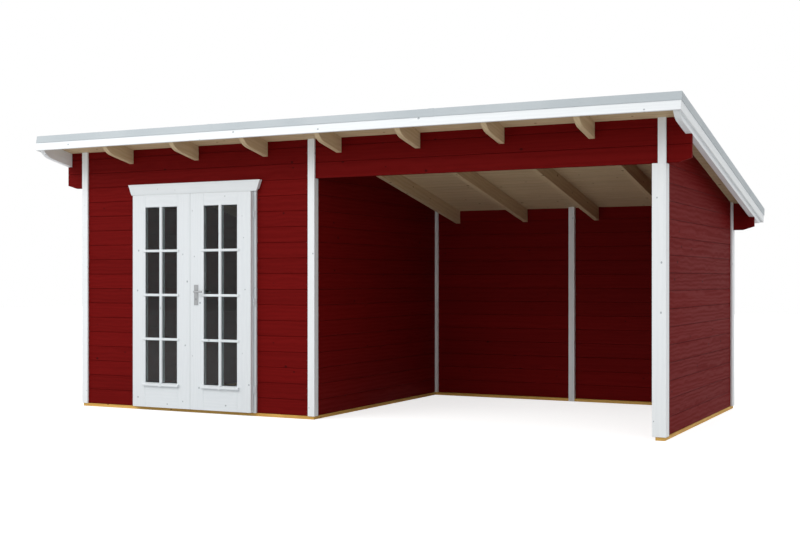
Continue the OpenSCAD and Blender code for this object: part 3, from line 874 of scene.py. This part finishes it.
@dataclass
class BoardWall:
    """A wall or header of tongued and grooved boards, cut to its CAD outline."""

    node: str
    name: str
    axis: Axis
    outside: int
    salt: float
    bevel_out: float = 0.0032
    bevel_in: float = 0.0025
    gap: float = 0.0003
    tongue: float = 0.0070
    tongue_low: float = 0.0105
    tongue_high: float = 0.0175
    inset: float = 0.00005
    overrun: float = 0.01

    def profile(self, thickness: float) -> list[Point]:
        """One board's section, as depth from the outer face and height."""
        t, p, g = thickness - self.inset, BOARD_COVER, self.gap
        v, w, a, b = self.bevel_out, self.bevel_in, self.tongue_low, self.tongue_high
        s, n = self.inset, self.tongue
        return [(s + v, 0), (s, v), (s, p - g - v), (s + v, p - g), (a, p - g), (a + g, p - g + n),
                (b - g, p - g + n), (b, p - g), (t - w, p - g), (t, p - g - w), (t, w), (t - w, 0),
                (b + g, 0), (b, n + g), (a, n + g), (a - g, 0)]

    def build(self, shop: Workshop) -> None:
        """Stacks the boards and cuts them to the outline."""
        low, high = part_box(self.node)
        side = 1 if self.axis is Axis.X else 0
        thickness = high[side] - low[side]
        first = math.floor((low.z - shop.sill_top) / BOARD_COVER + 0.001)
        last = math.ceil((high.z - shop.sill_top) / BOARD_COVER - 0.001)
        foot = shop.sill_top + first * BOARD_COVER
        face = low[side] if self.outside < 0 else high[side]
        outline = [(face - self.outside * depth, foot + height) for depth, height in self.profile(thickness)]
        span = (low[self.axis.value] - self.overrun, high[self.axis.value] + self.overrun)
        material = RED_STAIN.material(shop.effects, Fibres(self.axis),
                                      BoardRow(shop.sill_top, BOARD_COVER, self.salt))
        wall = Shape().prism(self.axis, *span, outline).piece(self.name, material)
        play = [0.0, 0.0, 0.0]
        play[side] = -self.outside * 0.0003
        run_tree(wall, shop.repeats.row, {
            "Count": last - first, "Step": (0, 0, BOARD_COVER), "Play": tuple(play),
            "Seed": round(self.salt), "Material": material})
        cutter = Shape.of_node(self.node).piece(self.name + "_outline", material)
        cut = wall.modifiers.new("outline", "BOOLEAN")
        cut.operation, cut.solver, cut.object = "INTERSECT", "EXACT", cutter
        settle(wall, material)
        bpy.data.objects.remove(cutter)
        shop.fit(wall, Body.BUILDING, RED_STAIN.slot, self.node)


@dataclass
class Walls:
    """All board walls and the two runs of top boards."""

    walls: tuple[tuple[str, Axis, int, float], ...] = (
        ("front_wall_left", Axis.X, -1, 11), ("front_wall_right", Axis.X, -1, 11),
        ("front_wall_over_door", Axis.X, -1, 11), ("front_header", Axis.X, -1, 11),
        ("cabin_left_wall", Axis.Y, -1, 23), ("cabin_right_wall", Axis.Y, 1, 31),
        ("canopy_end_wall", Axis.Y, 1, 43), ("back_wall", Axis.X, 1, 57), ("back_header", Axis.X, 1, 57))

    def build(self, shop: Workshop) -> None:
        """Builds every wall in turn."""
        for node, axis, outside, salt in self.walls:
            BoardWall(node, node + "_boards", axis, outside, salt).build(shop)


@dataclass
class Sills:
    """The sill beams under the walls."""

    easing: float = 0.002

    def build(self, shop: Workshop) -> None:
        """Eases both runs of beams."""
        shop.eased("long_sills", "long_sill_beams", SILL_TIMBER, fibres=Fibres(Axis.X), width=self.easing)
        shop.eased("cross_sills", "cross_sill_beams", SILL_TIMBER, fibres=Fibres(Axis.Y), width=self.easing)


@dataclass
class Trims:
    """The post, corner strips, inner strip and batten, with their nails."""

    easing: float = 0.0022
    nail_radius: float = 0.0032
    nail_dome: float = 0.0011
    strip: float = 0.018
    leg_middle: float = 0.032
    wall_middle: float = 0.014
    nail_step: float = 0.44
    end: float = 0.06

    def build(self, shop: Workshop) -> None:
        """Eases the strips and nails them."""
        upright = Fibres(Axis.Z)
        for node, name in (("canopy_post", "corner_post"), ("front_trims", "front_corner_strips"),
                           ("back_corner_trims", "back_corner_strips"),
                           ("inner_corner_strip", "inner_strip"), ("back_wall_batten", "canopy_batten")):
            shop.eased(node, name, WHITE_PAINT, fibres=upright, width=self.easing)
        self._nails(shop)

    def _rise(self, x: float, y: float, low: float, high: float) -> list[Vector]:
        """Evenly spaced points up a strip."""
        count = max(2, round((high - low - 2 * self.end) / self.nail_step) + 1)
        step = (high - low - 2 * self.end) / (count - 1)
        return [Vector((x, y, low + self.end + k * step)) for k in range(count)]

    def _nails(self, shop: Workshop) -> None:
        """Nails on the faces of the strips."""
        material = WHITE_PAINT.material(shop.effects, Fibres(Axis.Z))
        trims_low, trims_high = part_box("front_trims")
        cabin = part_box("cabin_right_wall")[1]
        post_low, post_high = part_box("canopy_post")
        wall_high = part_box("canopy_end_wall")[1]
        back_low, back_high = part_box("back_corner_trims")
        batten_low, batten_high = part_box("back_wall_batten")
        front = []
        for x in (trims_low.x + self.leg_middle, cabin.x - self.wall_middle):
            front += self._rise(x, trims_low.y, trims_low.z, trims_high.z)
        for x in (post_low.x + 0.025, post_high.x - 0.025):
            front += self._rise(x, post_low.y, post_low.z, post_high.z)
        front += self._rise(post_high.x - 0.030, trims_low.y, post_high.z, trims_high.z)
        front += self._rise((batten_low.x + batten_high.x) / 2, batten_low.y, 0.0, batten_high.z - 0.02)
        shop.heads("front_nails", front, Vector((0, -1, 0)), self.nail_radius, self.nail_dome,
                   material, Slot.WHITE)
        right = self._rise(post_high.x, post_low.y + 0.05, post_low.z, post_high.z)
        right += self._rise(cabin.x + self.strip, trims_low.y + self.leg_middle, trims_low.z, post_high.z)
        right += self._rise(back_high.x, wall_high.y - 0.02, back_low.z, back_high.z - 0.02)
        shop.heads("right_nails", right, Vector((1, 0, 0)), self.nail_radius, self.nail_dome,
                   material, Slot.WHITE)
        left = self._rise(trims_low.x, trims_low.y + self.leg_middle, trims_low.z, post_high.z)
        left += self._rise(back_low.x, wall_high.y - 0.02, back_low.z, back_high.z - 0.02)
        shop.heads("left_nails", left, Vector((-1, 0, 0)), self.nail_radius, self.nail_dome,
                   material, Slot.WHITE)
        back = []
        for x in (back_low.x + self.leg_middle, back_high.x - self.leg_middle):
            back += self._rise(x, back_high.y, back_low.z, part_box("back_wall")[1].z)
        shop.heads("back_nails", back, Vector((0, 1, 0)), self.nail_radius, self.nail_dome,
                   material, Slot.WHITE)


@dataclass
class Roof:
    """Rafters, deck boards, felt courses, fascias, bargeboards and the folded edge trim."""

    easing: float = 0.0025
    deck_boards: int = 33
    deck_bevel: float = 0.0035
    course_count: int = 4
    course_lap: float = 0.08
    lap_rise: float = 0.003
    nail_radius: float = 0.0032
    nail_dome: float = 0.001
    screw_radius: float = 0.004
    screw_dome: float = 0.0018
    trim_length: float = 2.0
    hem: float = 0.0035

    def build(self, shop: Workshop) -> None:
        """Builds the roof from the rafters up."""
        slope_y, slope_x = Fibres(Axis.Y, SLOPE), Fibres(Axis.X, SLOPE)
        shop.eased("end_rafters", "end_rafter_pair", WHITE_PAINT, fibres=slope_y, width=self.easing)
        for number in range(1, 8):
            shop.eased(f"rafter_{number}", f"rafter_beam_{number}", BARE_PINE,
                       fibres=slope_y, width=self.easing)
        self._deck(shop)
        self._felt(shop)
        shop.eased("fascias", "fascia_boards", WHITE_PAINT, fibres=slope_x, width=self.easing)
        shop.eased("bargeboards", "barge_boards", WHITE_PAINT, fibres=slope_y, width=self.easing)
        shop.eased("front_back_edge_trims", "front_back_trim_sheet", COATED_SHEET, width=0.0012)
        shop.eased("side_edge_trims", "side_trim_sheet", COATED_SHEET, width=0.0012)
        self._trim_laps(shop)
        self._fasteners(shop)

    def _deck(self, shop: Workshop) -> None:
        """Deck boards that run along the roof, with bevelled joints underneath."""
        low, high = shop.on_slope("roof_deck")
        cover = (high.y - low.y) / self.deck_boards
        t, v, g, n = high.z - low.z, self.deck_bevel, 0.0003, 0.005
        s0, z0 = low.y, low.z
        outline = [(v, 0), (cover - g - v, 0), (cover - g, v), (cover - g, 0.4 * t),
                   (cover - g + n, 0.4 * t + g), (cover - g + n, 0.65 * t - g), (cover - g, 0.65 * t),
                   (cover - g, t), (0, t), (0, 0.65 * t), (n, 0.65 * t), (n, 0.4 * t), (0, 0.4 * t), (0, v)]
        material = BARE_PINE.material(shop.effects, Fibres(Axis.X, SLOPE),
                                      self._row_on_slope(shop, low, cover))
        deck = Shape().prism(Axis.X, low.x, high.x, [(s0 + s, z0 + z) for s, z in outline])
        deck = deck.turn(shop.slope).piece("deck_boards", material)
        step = shop.slope.to_3x3() @ Vector((0, cover, 0))
        run_tree(deck, shop.repeats.row, {"Count": self.deck_boards,
                                          "Step": tuple(step), "Material": material})
        shop.fit(deck, Body.BUILDING, Slot.PINE, "roof_deck")

    @staticmethod
    def _row_on_slope(shop: Workshop, low: Vector, cover: float) -> BoardRow:
        """The deck's board row, measured from the origin along the slope."""
        start = shop.slope @ Vector((0, low.y, 0))
        return BoardRow(start.y * math.cos(SLOPE) - start.z * math.sin(SLOPE), cover, 71)

    def _felt(self, shop: Workshop) -> None:
        """Felt courses, each lapped over the one below it."""
        low, high = shop.on_slope("roof_felt")
        pitch = (high.y - low.y) / self.course_count
        base, t, up = low.z, high.z - low.z, self.lap_rise + 0.0004
        reach = pitch + self.course_lap
        outline = [(0, 0), (pitch - 0.02, 0), (pitch + 0.005, up), (reach, up), (reach, up + t),
                   (pitch + 0.005, up + t), (pitch - 0.02, t), (0, t)]
        last = [(0, 0), (pitch, 0), (pitch, t), (0, t)]
        material = ROOF_FELT.material(shop.effects)
        felt = Shape().prism(Axis.X, low.x, high.x, [(low.y + s, base + z) for s, z in outline])
        felt = felt.turn(shop.slope).piece("felt_courses", material)
        step = shop.slope.to_3x3() @ Vector((0, pitch, 0))
        run_tree(felt, shop.repeats.row, {
            "Count": self.course_count - 1, "Step": tuple(step), "Material": material})
        shop.fit(felt, Body.BUILDING, Slot.FELT, "roof_felt")
        foot = low.y + (self.course_count - 1) * pitch
        eave = Shape().prism(Axis.X, low.x, high.x, [(foot + s, base + z) for s, z in last])
        shop.fit(eave.turn(shop.slope).piece("felt_eave_course", material), Body.BUILDING, Slot.FELT)

    def _trim_laps(self, shop: Workshop) -> None:
        """Lap joints of the edge trim, and the hem along its lower edge."""
        low, high = shop.on_slope("front_back_edge_trims")
        leg_foot, top = low.z, high.z
        material = COATED_SHEET.material(shop.effects)
        proud, band = 0.0009, 0.045
        count = math.floor((high.x - low.x) / self.trim_length)
        start = (low.x + high.x) / 2 - (count - 1) * self.trim_length / 2
        for label, outer, inner in (("front", low.y, low.y + 0.022), ("back", high.y, high.y - 0.022)):
            away = -1 if label == "front" else 1
            outline = [(outer + away * proud, leg_foot - proud), (outer + away * proud, top + proud),
                       (inner, top + proud), (inner, top - 0.001), (outer - away * 0.001, top - 0.001),
                       (outer - away * 0.001, leg_foot - proud)]
            lap = Shape().prism(Axis.X, start - band / 2, start + band / 2, outline).turn(shop.slope)
            lap = lap.piece(f"{label}_trim_laps", material)
            run_tree(lap, shop.repeats.row, {
                "Count": count, "Step": (self.trim_length, 0, 0), "Material": material})
            shop.fit(lap, Body.BUILDING, Slot.TRIM)
            hem = Shape()
            depth = outer - away * 0.002
            hem.prism(Axis.X, low.x + 0.001, high.x - 0.001, [
                (depth, leg_foot - 0.0005), (depth + away * self.hem, leg_foot),
                (depth + away * self.hem, leg_foot + 0.005), (depth, leg_foot + 0.0065)])
            shop.fit(hem.ease(0.0008).turn(shop.slope).piece(f"{label}_trim_hem", material),
                     Body.BUILDING, Slot.TRIM)

    def _fasteners(self, shop: Workshop) -> None:
        """Nails on the felt laps and fascias, and screws along the edge trim."""
        low, high = shop.on_slope("roof_felt")
        up = shop.slope.to_3x3() @ Vector((0, 0, 1))
        pitch = (high.y - low.y) / self.course_count
        top = high.z + self.lap_rise + 0.0004
        points = []
        for course in range(1, self.course_count):
            s = low.y + course * pitch + self.course_lap - 0.02
            count = round((high.x - low.x) / 0.1)
            points += [shop.slope @ Vector((low.x + (k + 0.5) * (high.x - low.x) / count, s, top))
                       for k in range(count)]
        shop.heads("felt_nails", points, up, 0.005, 0.0012, ZINC.material(shop.effects), Slot.STEEL)
        low, high = shop.on_slope("fascias")
        outer = []
        rafter = (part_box("rafter_2")[0].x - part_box("rafter_1")[0].x)
        middle = (low.x + high.x) / 2
        for k in range(-4, 5):
            outer += [shop.slope @ Vector((middle + k * rafter * 0.995, low.y, low.z + rise))
                      for rise in (0.022, 0.055)]
        facing = shop.slope.to_3x3() @ Vector((0, -1, 0))
        shop.heads("fascia_nails", outer, facing, self.nail_radius, self.nail_dome,
                   WHITE_PAINT.material(shop.effects, Fibres(Axis.X, SLOPE)), Slot.WHITE)
        low, high = shop.on_slope("bargeboards")
        for label, x, way in (("left", low.x, -1), ("right", high.x, 1)):
            count = 8
            run = [shop.slope @ Vector((x, low.y + 0.06 + k * (high.y - low.y - 0.12) / (count - 1),
                                        low.z + rise))
                   for k in range(count) for rise in (0.022, 0.050)]
            shop.heads(f"{label}_barge_nails", run, Vector((way, 0, 0)), self.nail_radius, self.nail_dome,
                       WHITE_PAINT.material(shop.effects, Fibres(Axis.Y, SLOPE)), Slot.WHITE)
        self._trim_screws(shop)

    def _trim_screws(self, shop: Workshop) -> None:
        """Screws through the edge trim's outer leg."""
        low, high = shop.on_slope("front_back_edge_trims")
        count, leg = 12, low.z + 0.03
        material = COATED_SHEET.material(shop.effects)
        for label, y, way in (("front", low.y, -1), ("back", high.y, 1)):
            points = [shop.slope @ Vector((low.x + (k + 0.5) * (high.x - low.x) / count, y, leg))
                      for k in range(count)]
            shop.heads(f"{label}_trim_screws", points, shop.slope.to_3x3() @ Vector((0, way, 0)),
                       self.screw_radius, self.screw_dome, material, Slot.TRIM)
        side_low, side_high = shop.on_slope("side_edge_trims")
        for label, x, way in (("left", side_low.x, -1), ("right", side_high.x, 1)):
            points = [shop.slope @ Vector((x, side_low.y + (k + 0.5) * (side_high.y - side_low.y) / 7,
                                           side_low.z + 0.03)) for k in range(7)]
            shop.heads(f"{label}_trim_screws", points, Vector((way, 0, 0)),
                       self.screw_radius, self.screw_dome, material, Slot.TRIM)


@dataclass
class DoorFrame:
    """Jambs, head, threshold and the flared cornice over them."""

    easing: float = 0.002

    def build(self, shop: Workshop) -> None:
        """Eases the frame's timbers."""
        for node, name, axis in (("door_jambs", "door_jamb_pair", Axis.Z),
                                 ("door_head", "door_head_rail", Axis.X),
                                 ("door_threshold", "door_sill_rail", Axis.X),
                                 ("door_cornice", "flared_cornice", Axis.X)):
            shop.eased(node, name, DOOR_PAINT, fibres=Fibres(axis), width=self.easing)


@dataclass
class DoorLeaf:
    """One glazed leaf: stiles, rails, beads, glazing bars and drip bar."""

    side: str
    body: Body
    thickness: float = 0.041
    rebate: float = 0.008
    bead: float = 0.009
    front_bead: float = 0.0035
    bar_width: float = 0.028
    level_width: float = 0.022
    ear: float = 0.020
    bar_count: int = 3
    seam: float = 0.0004

    def build(self, shop: Workshop) -> None:
        """Builds the leaf's pieces and fastens them to its body."""
        low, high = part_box(f"{self.side}_leaf")
        glass_low, glass_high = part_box(f"{self.side}_glass")
        back = high.y
        front = back - self.thickness
        opening = (Vector((glass_low.x + self.rebate, front, glass_low.z + self.rebate)),
                   Vector((glass_high.x - self.rebate, back, glass_high.z - self.rebate)))
        self._frame(shop, low, high, front, back, opening)
        self._beads(shop, front, glass_low.y, glass_high.y, back, opening)
        self._bars(shop, front, glass_low.y, glass_high.y, back, opening)
        self._drip(shop, low.y, front, opening)
        glass = frame_node(f"{self.side}_glass")
        glass.data.materials.clear()
        glass.data.materials.append(Glass().material(shop.effects))
        for node in (f"{self.side}_hinge_barrels",):
            metal = frame_node(node)
            metal.data.materials.clear()
            metal.data.materials.append(HINGE_COAT.material(shop.effects))

    def _frame(self, shop: Workshop, low: Vector, high: Vector, front: float, back: float,
               opening: tuple[Vector, Vector]) -> None:
        """Two stiles and two rails, with a hairline seam between them."""
        inner, outer = opening
        stiles = Shape()
        stiles.block((low.x, front, low.z), (inner.x, back, high.z))
        stiles.block((outer.x, front, low.z), (high.x, back, high.z))
        shop.fit(stiles.ease(0.0022).piece(f"{self.side}_stiles",
                                           DOOR_PAINT.material(shop.effects, Fibres(Axis.Z))),
                 self.body, Slot.WHITE, f"{self.side}_leaf")
        rails = Shape()
        for z0, z1 in ((low.z, inner.z), (outer.z, high.z)):
            rails.block((inner.x + self.seam, front + 0.0004, z0), (outer.x - self.seam, back - 0.0004, z1))
        shop.fit(rails.ease(0.0016).piece(f"{self.side}_rails",
                                          DOOR_PAINT.material(shop.effects, Fibres(Axis.X))),
                 self.body, Slot.WHITE)

    def _beads(self, shop: Workshop, front: float, glass_front: float, glass_back: float, back: float,
               opening: tuple[Vector, Vector]) -> None:
        """Rounded beads that hold the glass from both sides."""
        low, high = (opening[0].x, opening[0].z), (opening[1].x, opening[1].z)
        beads = Shape()
        for face, pane, way, reach in ((front, glass_front, 1, self.front_bead),
                                       (back, glass_back, -1, self.bead)):
            lip = face + way * 0.001
            profile = [(-0.001, lip)]
            profile += [(reach * math.sin(a), pane - (pane - lip) * math.cos(a))
                        for a in (math.radians(step) for step in (20, 45, 70))]
            profile += [(reach, pane), (-0.001, pane)]
            beads.frame(low, high, profile)
        shop.fit(beads.piece(f"{self.side}_glass_beads", DOOR_PAINT.material(shop.effects, Fibres(Axis.Z))),
                 self.body, Slot.WHITE)

    def _bars(self, shop: Workshop, front: float, glass_front: float, glass_back: float, back: float,
              opening: tuple[Vector, Vector]) -> None:
        """The upright and the level bars, with rounded noses and eared ends."""
        low, high = opening
        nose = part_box(f"{self.side}_glazing_bars")[0].y
        middle, half = (low.x + high.x) / 2, self.bar_width / 2
        upright = Shape()
        upright.prism(Axis.Z, low.z, high.z, self._nosed(middle, half, nose, glass_front))
        upright.prism(Axis.Z, low.z, high.z, self._nosed(middle, half, back - 0.001, glass_back))
        foot_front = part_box(f"{self.side}_leaf")[0].y
        upright.block((middle - half, foot_front - 0.0015, low.z - 0.028),
                      (middle + half, front, low.z + 0.001))
        shop.fit(upright.ease(0.001).piece(f"{self.side}_upright_bar",
                                           DOOR_PAINT.material(shop.effects, Fibres(Axis.Z))),
                 self.body, Slot.WHITE, f"{self.side}_glazing_bars")
        rise = (high.z - low.z) / (self.bar_count + 1)
        z = low.z + rise
        bar = Shape()
        section = self._nosed(z, self.level_width / 2, nose - 0.0012, front + 0.0003)
        bar.prism(Axis.X, low.x - self.ear, high.x + self.ear, [(y, x) for x, y in section])
        bar.block((low.x, front, z - self.level_width / 2), (high.x, glass_front, z + self.level_width / 2))
        section = self._nosed(z, self.level_width / 2, back - 0.0008, glass_back)
        bar.prism(Axis.X, low.x, high.x, [(y, x) for x, y in section])
        material = DOOR_PAINT.material(shop.effects, Fibres(Axis.X))
        bars = bar.ease(0.001).piece(f"{self.side}_level_bars", material)
        run_tree(bars, shop.repeats.row, {"Count": self.bar_count,
                                          "Step": (0, 0, rise), "Material": material})
        shop.fit(bars, self.body, Slot.WHITE)

    @staticmethod
    def _nosed(middle: float, half: float, nose: float, root: float) -> list[Point]:
        """A bar's section: square at the root, with a rounded nose."""
        way = 1 if root > nose else -1
        soft = 0.005
        arc = [(half - soft + soft * math.cos(a), nose + way * (soft - soft * math.sin(a)))
               for a in (math.radians(step) for step in (0, 30, 60, 90))]
        right = [(middle + x, y) for x, y in arc]
        left = [(middle - x, y) for x, y in reversed(arc)]
        return [(middle + half, root)] + right + left + [(middle - half, root)]

    def _drip(self, shop: Workshop, nose: float, front: float, opening: tuple[Vector, Vector]) -> None:
        """The sloped drip bar under the glass."""
        low, high = opening
        top, foot = low.z, low.z - 0.024
        section = [(front, top), (nose + 0.004, top - 0.005), (nose, top - 0.010), (nose, foot + 0.001),
                   (nose + 0.002, foot), (nose + 0.008, foot), (nose + 0.009, foot + 0.003),
                   (nose + 0.013, foot + 0.003), (nose + 0.014, foot), (front, foot)]
        drip = Shape().prism(Axis.X, low.x - self.ear, high.x + self.ear, section)
        shop.fit(drip.ease(0.0008).piece(f"{self.side}_drip_bar",
                                         DOOR_PAINT.material(shop.effects, Fibres(Axis.X))),
                 self.body, Slot.WHITE)


def frame_node(name: str) -> bpy.types.Object:
    """The CAD node of that name."""
    return bpy.data.objects[name]


@dataclass
class MeetingSeal:
    """The pale seal in the gap between the leaves."""

    clearance: float = 0.0005
    set_back: float = 0.002
    head_inset: float = 0.01
    head_set: float = 0.006

    def build(self, shop: Workshop) -> None:
        """Seats one seal on the left leaf's edge and one over both leaves."""
        left_low, left_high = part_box("left_leaf")
        right_low, right_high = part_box("right_leaf")
        front = left_high.y - DoorLeaf.thickness + self.set_back
        seal = Shape().block((left_high.x - 0.001, front, left_low.z + 0.004),
                             (right_low.x - self.clearance, left_high.y - 0.008, left_high.z - 0.004))
        shop.fit(seal.ease(0.0008).piece("meeting_seal", SEAL.material(shop.effects)), Body.LEFT, Slot.WHITE)
        frame_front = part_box("door_jambs")[0].y
        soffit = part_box("door_cornice")[0].z
        head = Shape().block((left_low.x + self.head_inset, front + self.head_set, left_high.z + self.clearance),
                             (right_high.x - self.head_inset, frame_front, soffit))
        shop.fit(head.ease(0.0006).piece("head_seal", SEAL.material(shop.effects)), Body.BUILDING, Slot.WHITE)


@dataclass
class Lock:
    """Lock plates, key slot, plate screws and the lever."""

    neck: float = 0.008
    grip_height: float = 0.016
    grip_depth: float = 0.012
    sides: int = 16

    def build(self, shop: Workshop) -> None:
        """Builds the plates and the lever."""
        plate_low, plate_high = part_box("lock_plates")
        lever_low, lever_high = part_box("lever_handle")
        steel = Brushed().material(shop.effects)
        shop_plates = Shape.of_node("lock_plates").ease(0.0012, 3)
        shop.fit(shop_plates.piece("lock_plate_pair", steel), Body.RIGHT, Slot.STEEL, "lock_plates")
        self._screws_and_key(shop, plate_low, plate_high, steel)
        self._lever(shop, lever_low, lever_high, plate_low.y, plate_high.y, steel)
        pins = frame_node("hinge_pins")
        pins.data.materials.clear()
        pins.data.materials.append(HINGE_COAT.material(shop.effects))

    @staticmethod
    def _disc(centre: Vector, radius: float, depth: float, sides: int) -> list[list[Vector]]:
        """Two rings of a short cylinder that faces -Y."""
        return [[centre + Vector((radius * math.cos(a), y, radius * math.sin(a)))
                 for a in (2 * math.pi * k / sides for k in range(sides))] for y in (0.0, depth)]

    def _screws_and_key(self, shop: Workshop, low: Vector, high: Vector, steel: bpy.types.Material) -> None:
        """Four countersunk screws and a key slot on each plate; the slot is a near-black solid, painted shade
        for the keyhole's hollow.
        """
        middle = (low.x + high.x) / 2
        for label, y, way in (("outer", low.y, -1), ("inner", high.y, 1)):
            points = [Vector((middle, y, z)) for z in (low.z + 0.011, high.z - 0.011)]
            shop.heads(f"{label}_plate_screws", points, Vector((0, way, 0)), 0.0042, 0.0012, steel,
                       Slot.STEEL, Body.RIGHT)
            centre = Vector((middle, y - way * 0.0005, low.z + 0.052))
            ring = Shape().loft(self._disc(centre, 0.0105, way * 0.0022, 24)).ease(0.0006)
            shop.fit(ring.piece(f"{label}_key_ring", steel), Body.RIGHT, Slot.STEEL)
            # The key core and slot are near-black: painted shade for the keyhole's hollow.
            core = Shape().loft(self._disc(centre + Vector((0, way * 0.0018, 0)), 0.0045, way * 0.0006, 20))
            core.block((middle - 0.0016, centre.y, centre.z - 0.0085),
                       (middle + 0.0016, centre.y + way * 0.0024, centre.z))
            shop.fit(core.piece(f"{label}_key_slot", KEYHOLE_SHADE.material(shop.effects)),
                     Body.RIGHT, Slot.STEEL)

    def _lever(self, shop: Workshop, low: Vector, high: Vector, outer: float, inner: float,
               steel: bpy.types.Material) -> None:
        """A neck that bends into a tapered grip, on both faces of the leaf."""
        spindle = Vector((low.x + self.neck, 0, (low.z + high.z) / 2))
        middle = (outer + inner) / 2
        lever = Shape()
        for way, tip in ((-1, low.y), (1, high.y)):
            grip_y = tip - way * self.grip_depth / 2
            bend = 0.014
            path = [(Vector((spindle.x, middle + way * 0.004, spindle.z)), Vector((0, way, 0)), 1.0)]
            path.append((Vector((spindle.x, grip_y - way * bend, spindle.z)), Vector((0, way, 0)), 1.0))
            for step in (30, 60, 90):
                a = math.radians(step)
                path.append((Vector((spindle.x + bend * (1 - math.cos(a)),
                                     grip_y - way * bend * (1 - math.sin(a)), spindle.z)),
                             Vector((math.sin(a), way * math.cos(a), 0)), 1.0))
            for share in (0.4, 0.7, 0.9, 0.97, 1.0):
                x = spindle.x + bend + (high.x - spindle.x - bend) * share
                size = 0.55 if share == 1.0 else 0.85 if share == 0.97 else 1.0
                path.append((Vector((x, grip_y, spindle.z)), Vector((1, 0, 0)), size))
            lever.loft([self._section(*stop) for stop in path])
            rose = Vector((spindle.x, outer if way < 0 else inner, spindle.z))
            lever.loft(self._disc(rose + Vector((0, way * 0.0003, 0)), 0.0115, way * 0.004, 24))
        shop.fit(lever.piece("lever_pair", steel, smooth=math.radians(50)),
                 Body.LEVER, Slot.STEEL, "lever_handle")

    def _section(self, centre: Vector, along: Vector, size: float) -> list[Vector]:
        """One rounded section of the lever, square to its run."""
        flat = along.cross(Vector((0, 0, 1)))
        return [centre + flat * (self.grip_depth / 2 * size * math.cos(a))
                + Vector((0, 0, self.grip_height / 2 * size * math.sin(a)))
                for a in (2 * math.pi * k / self.sides for k in range(self.sides))]


# ---------------------------------------------------------------- studio


@dataclass
class Studio:
    """Floor, light and camera."""

    beyond_end: float = 2.132
    before_front: float = 8.4314
    eye_height: float = 1.1508
    turn: float = math.radians(26.66)
    lens: float = 53.76
    shift: float = 0.0158
    floor_size: float = 60.0
    sky: float = 0.86
    lamp_power: float = 520.0

    def build(self) -> None:
        """Sets the floor, the world, the lamp and the camera."""
        self._floor()
        self._world()
        self._lamp()
        self._camera()

    def _seen_white(self, g: Graph) -> Any:
        """One where a ray comes straight from the camera, a gloss or the glass."""
        path = g.add("ShaderNodeLightPath").outputs
        seen = g.math("MAXIMUM", path["Is Camera Ray"], path["Is Glossy Ray"])
        return g.math("MAXIMUM", seen, path["Is Transmission Ray"])

    def _floor(self) -> None:
        """A plain white floor that keeps the shadow."""
        material = bpy.data.materials.new("studio_floor")
        material.use_nodes = True
        g = Graph(material.node_tree)
        shader = g.add("ShaderNodeBsdfPrincipled", {
            "Base Color": (0.62, 0.62, 0.62, 1), "Roughness": 0.9, "Specular IOR Level": 0.1,
            "Emission Color": (1, 1, 1, 1),
            "Emission Strength": g.math("MULTIPLY", self._seen_white(g), 0.72)})
        g.add("ShaderNodeOutputMaterial", {"Surface": shader.outputs[0]})
        half = self.floor_size / 2
        mesh = bpy.data.meshes.new("floor")
        mesh.from_pydata([(-half, -half, 0), (half, -half, 0), (half, half, 0), (-half, half, 0)], [],
                         [(0, 1, 2, 3)])
        mesh.materials.append(material)
        floor = bpy.data.objects.new("floor", mesh)
        bpy.context.scene.collection.objects.link(floor)

    def _world(self) -> None:
        """An even white sky."""
        world = bpy.data.worlds.new("even_sky")
        world.use_nodes = True
        g = Graph(world.node_tree)
        strength = g.math("ADD", self.sky, g.math("MULTIPLY", self._seen_white(g), 1.0 - self.sky))
        sky = g.add("ShaderNodeBackground", {"Color": (1, 1, 1, 1), "Strength": strength})
        g.add("ShaderNodeOutputWorld", {"Surface": sky.outputs[0]})
        bpy.context.scene.world = world

    def _lamp(self) -> None:
        """One large soft lamp above the front."""
        data = bpy.data.lights.new("soft_lamp", "AREA")
        data.shape, data.size, data.size_y, data.energy = "RECTANGLE", 9.0, 5.0, self.lamp_power
        lamp = bpy.data.objects.new("soft_lamp", data)
        lamp.location = (-5.0, -9.5, 8.0)
        aim = Vector((0.0, 0.0, 1.0)) - lamp.location
        lamp.rotation_euler = aim.to_track_quat("-Z", "Y").to_euler()
        bpy.context.scene.collection.objects.link(lamp)

    def _camera(self) -> None:
        """The camera, set from the canopy's end wall and the front wall."""
        data = bpy.data.cameras.new("camera")
        data.lens, data.shift_y, data.clip_end = self.lens, self.shift, 200.0
        camera = bpy.data.objects.new("camera", data)
        camera.location = (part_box("canopy_end_wall")[1].x + self.beyond_end,
                           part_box("front_wall_left")[0].y - self.before_front, self.eye_height)
        camera.rotation_euler = (math.pi / 2, 0, self.turn)
        bpy.context.scene.collection.objects.link(camera)
        bpy.context.scene.camera = camera


def main() -> None:
    """Builds the cabin's looks."""
    logging.basicConfig(level=logging.INFO, format="%(message)s")
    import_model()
    bpy.context.scene.view_settings.view_transform = "Standard"
    shop = Workshop(Effects(), Repeats())
    for part in (Sills(), Walls(), Trims(), Roof(), DoorFrame(), DoorLeaf("left", Body.LEFT),
                 DoorLeaf("right", Body.RIGHT), MeetingSeal(), Lock()):
        part.build(shop)
    Studio().build()


if __name__ == "__main__":
    main()
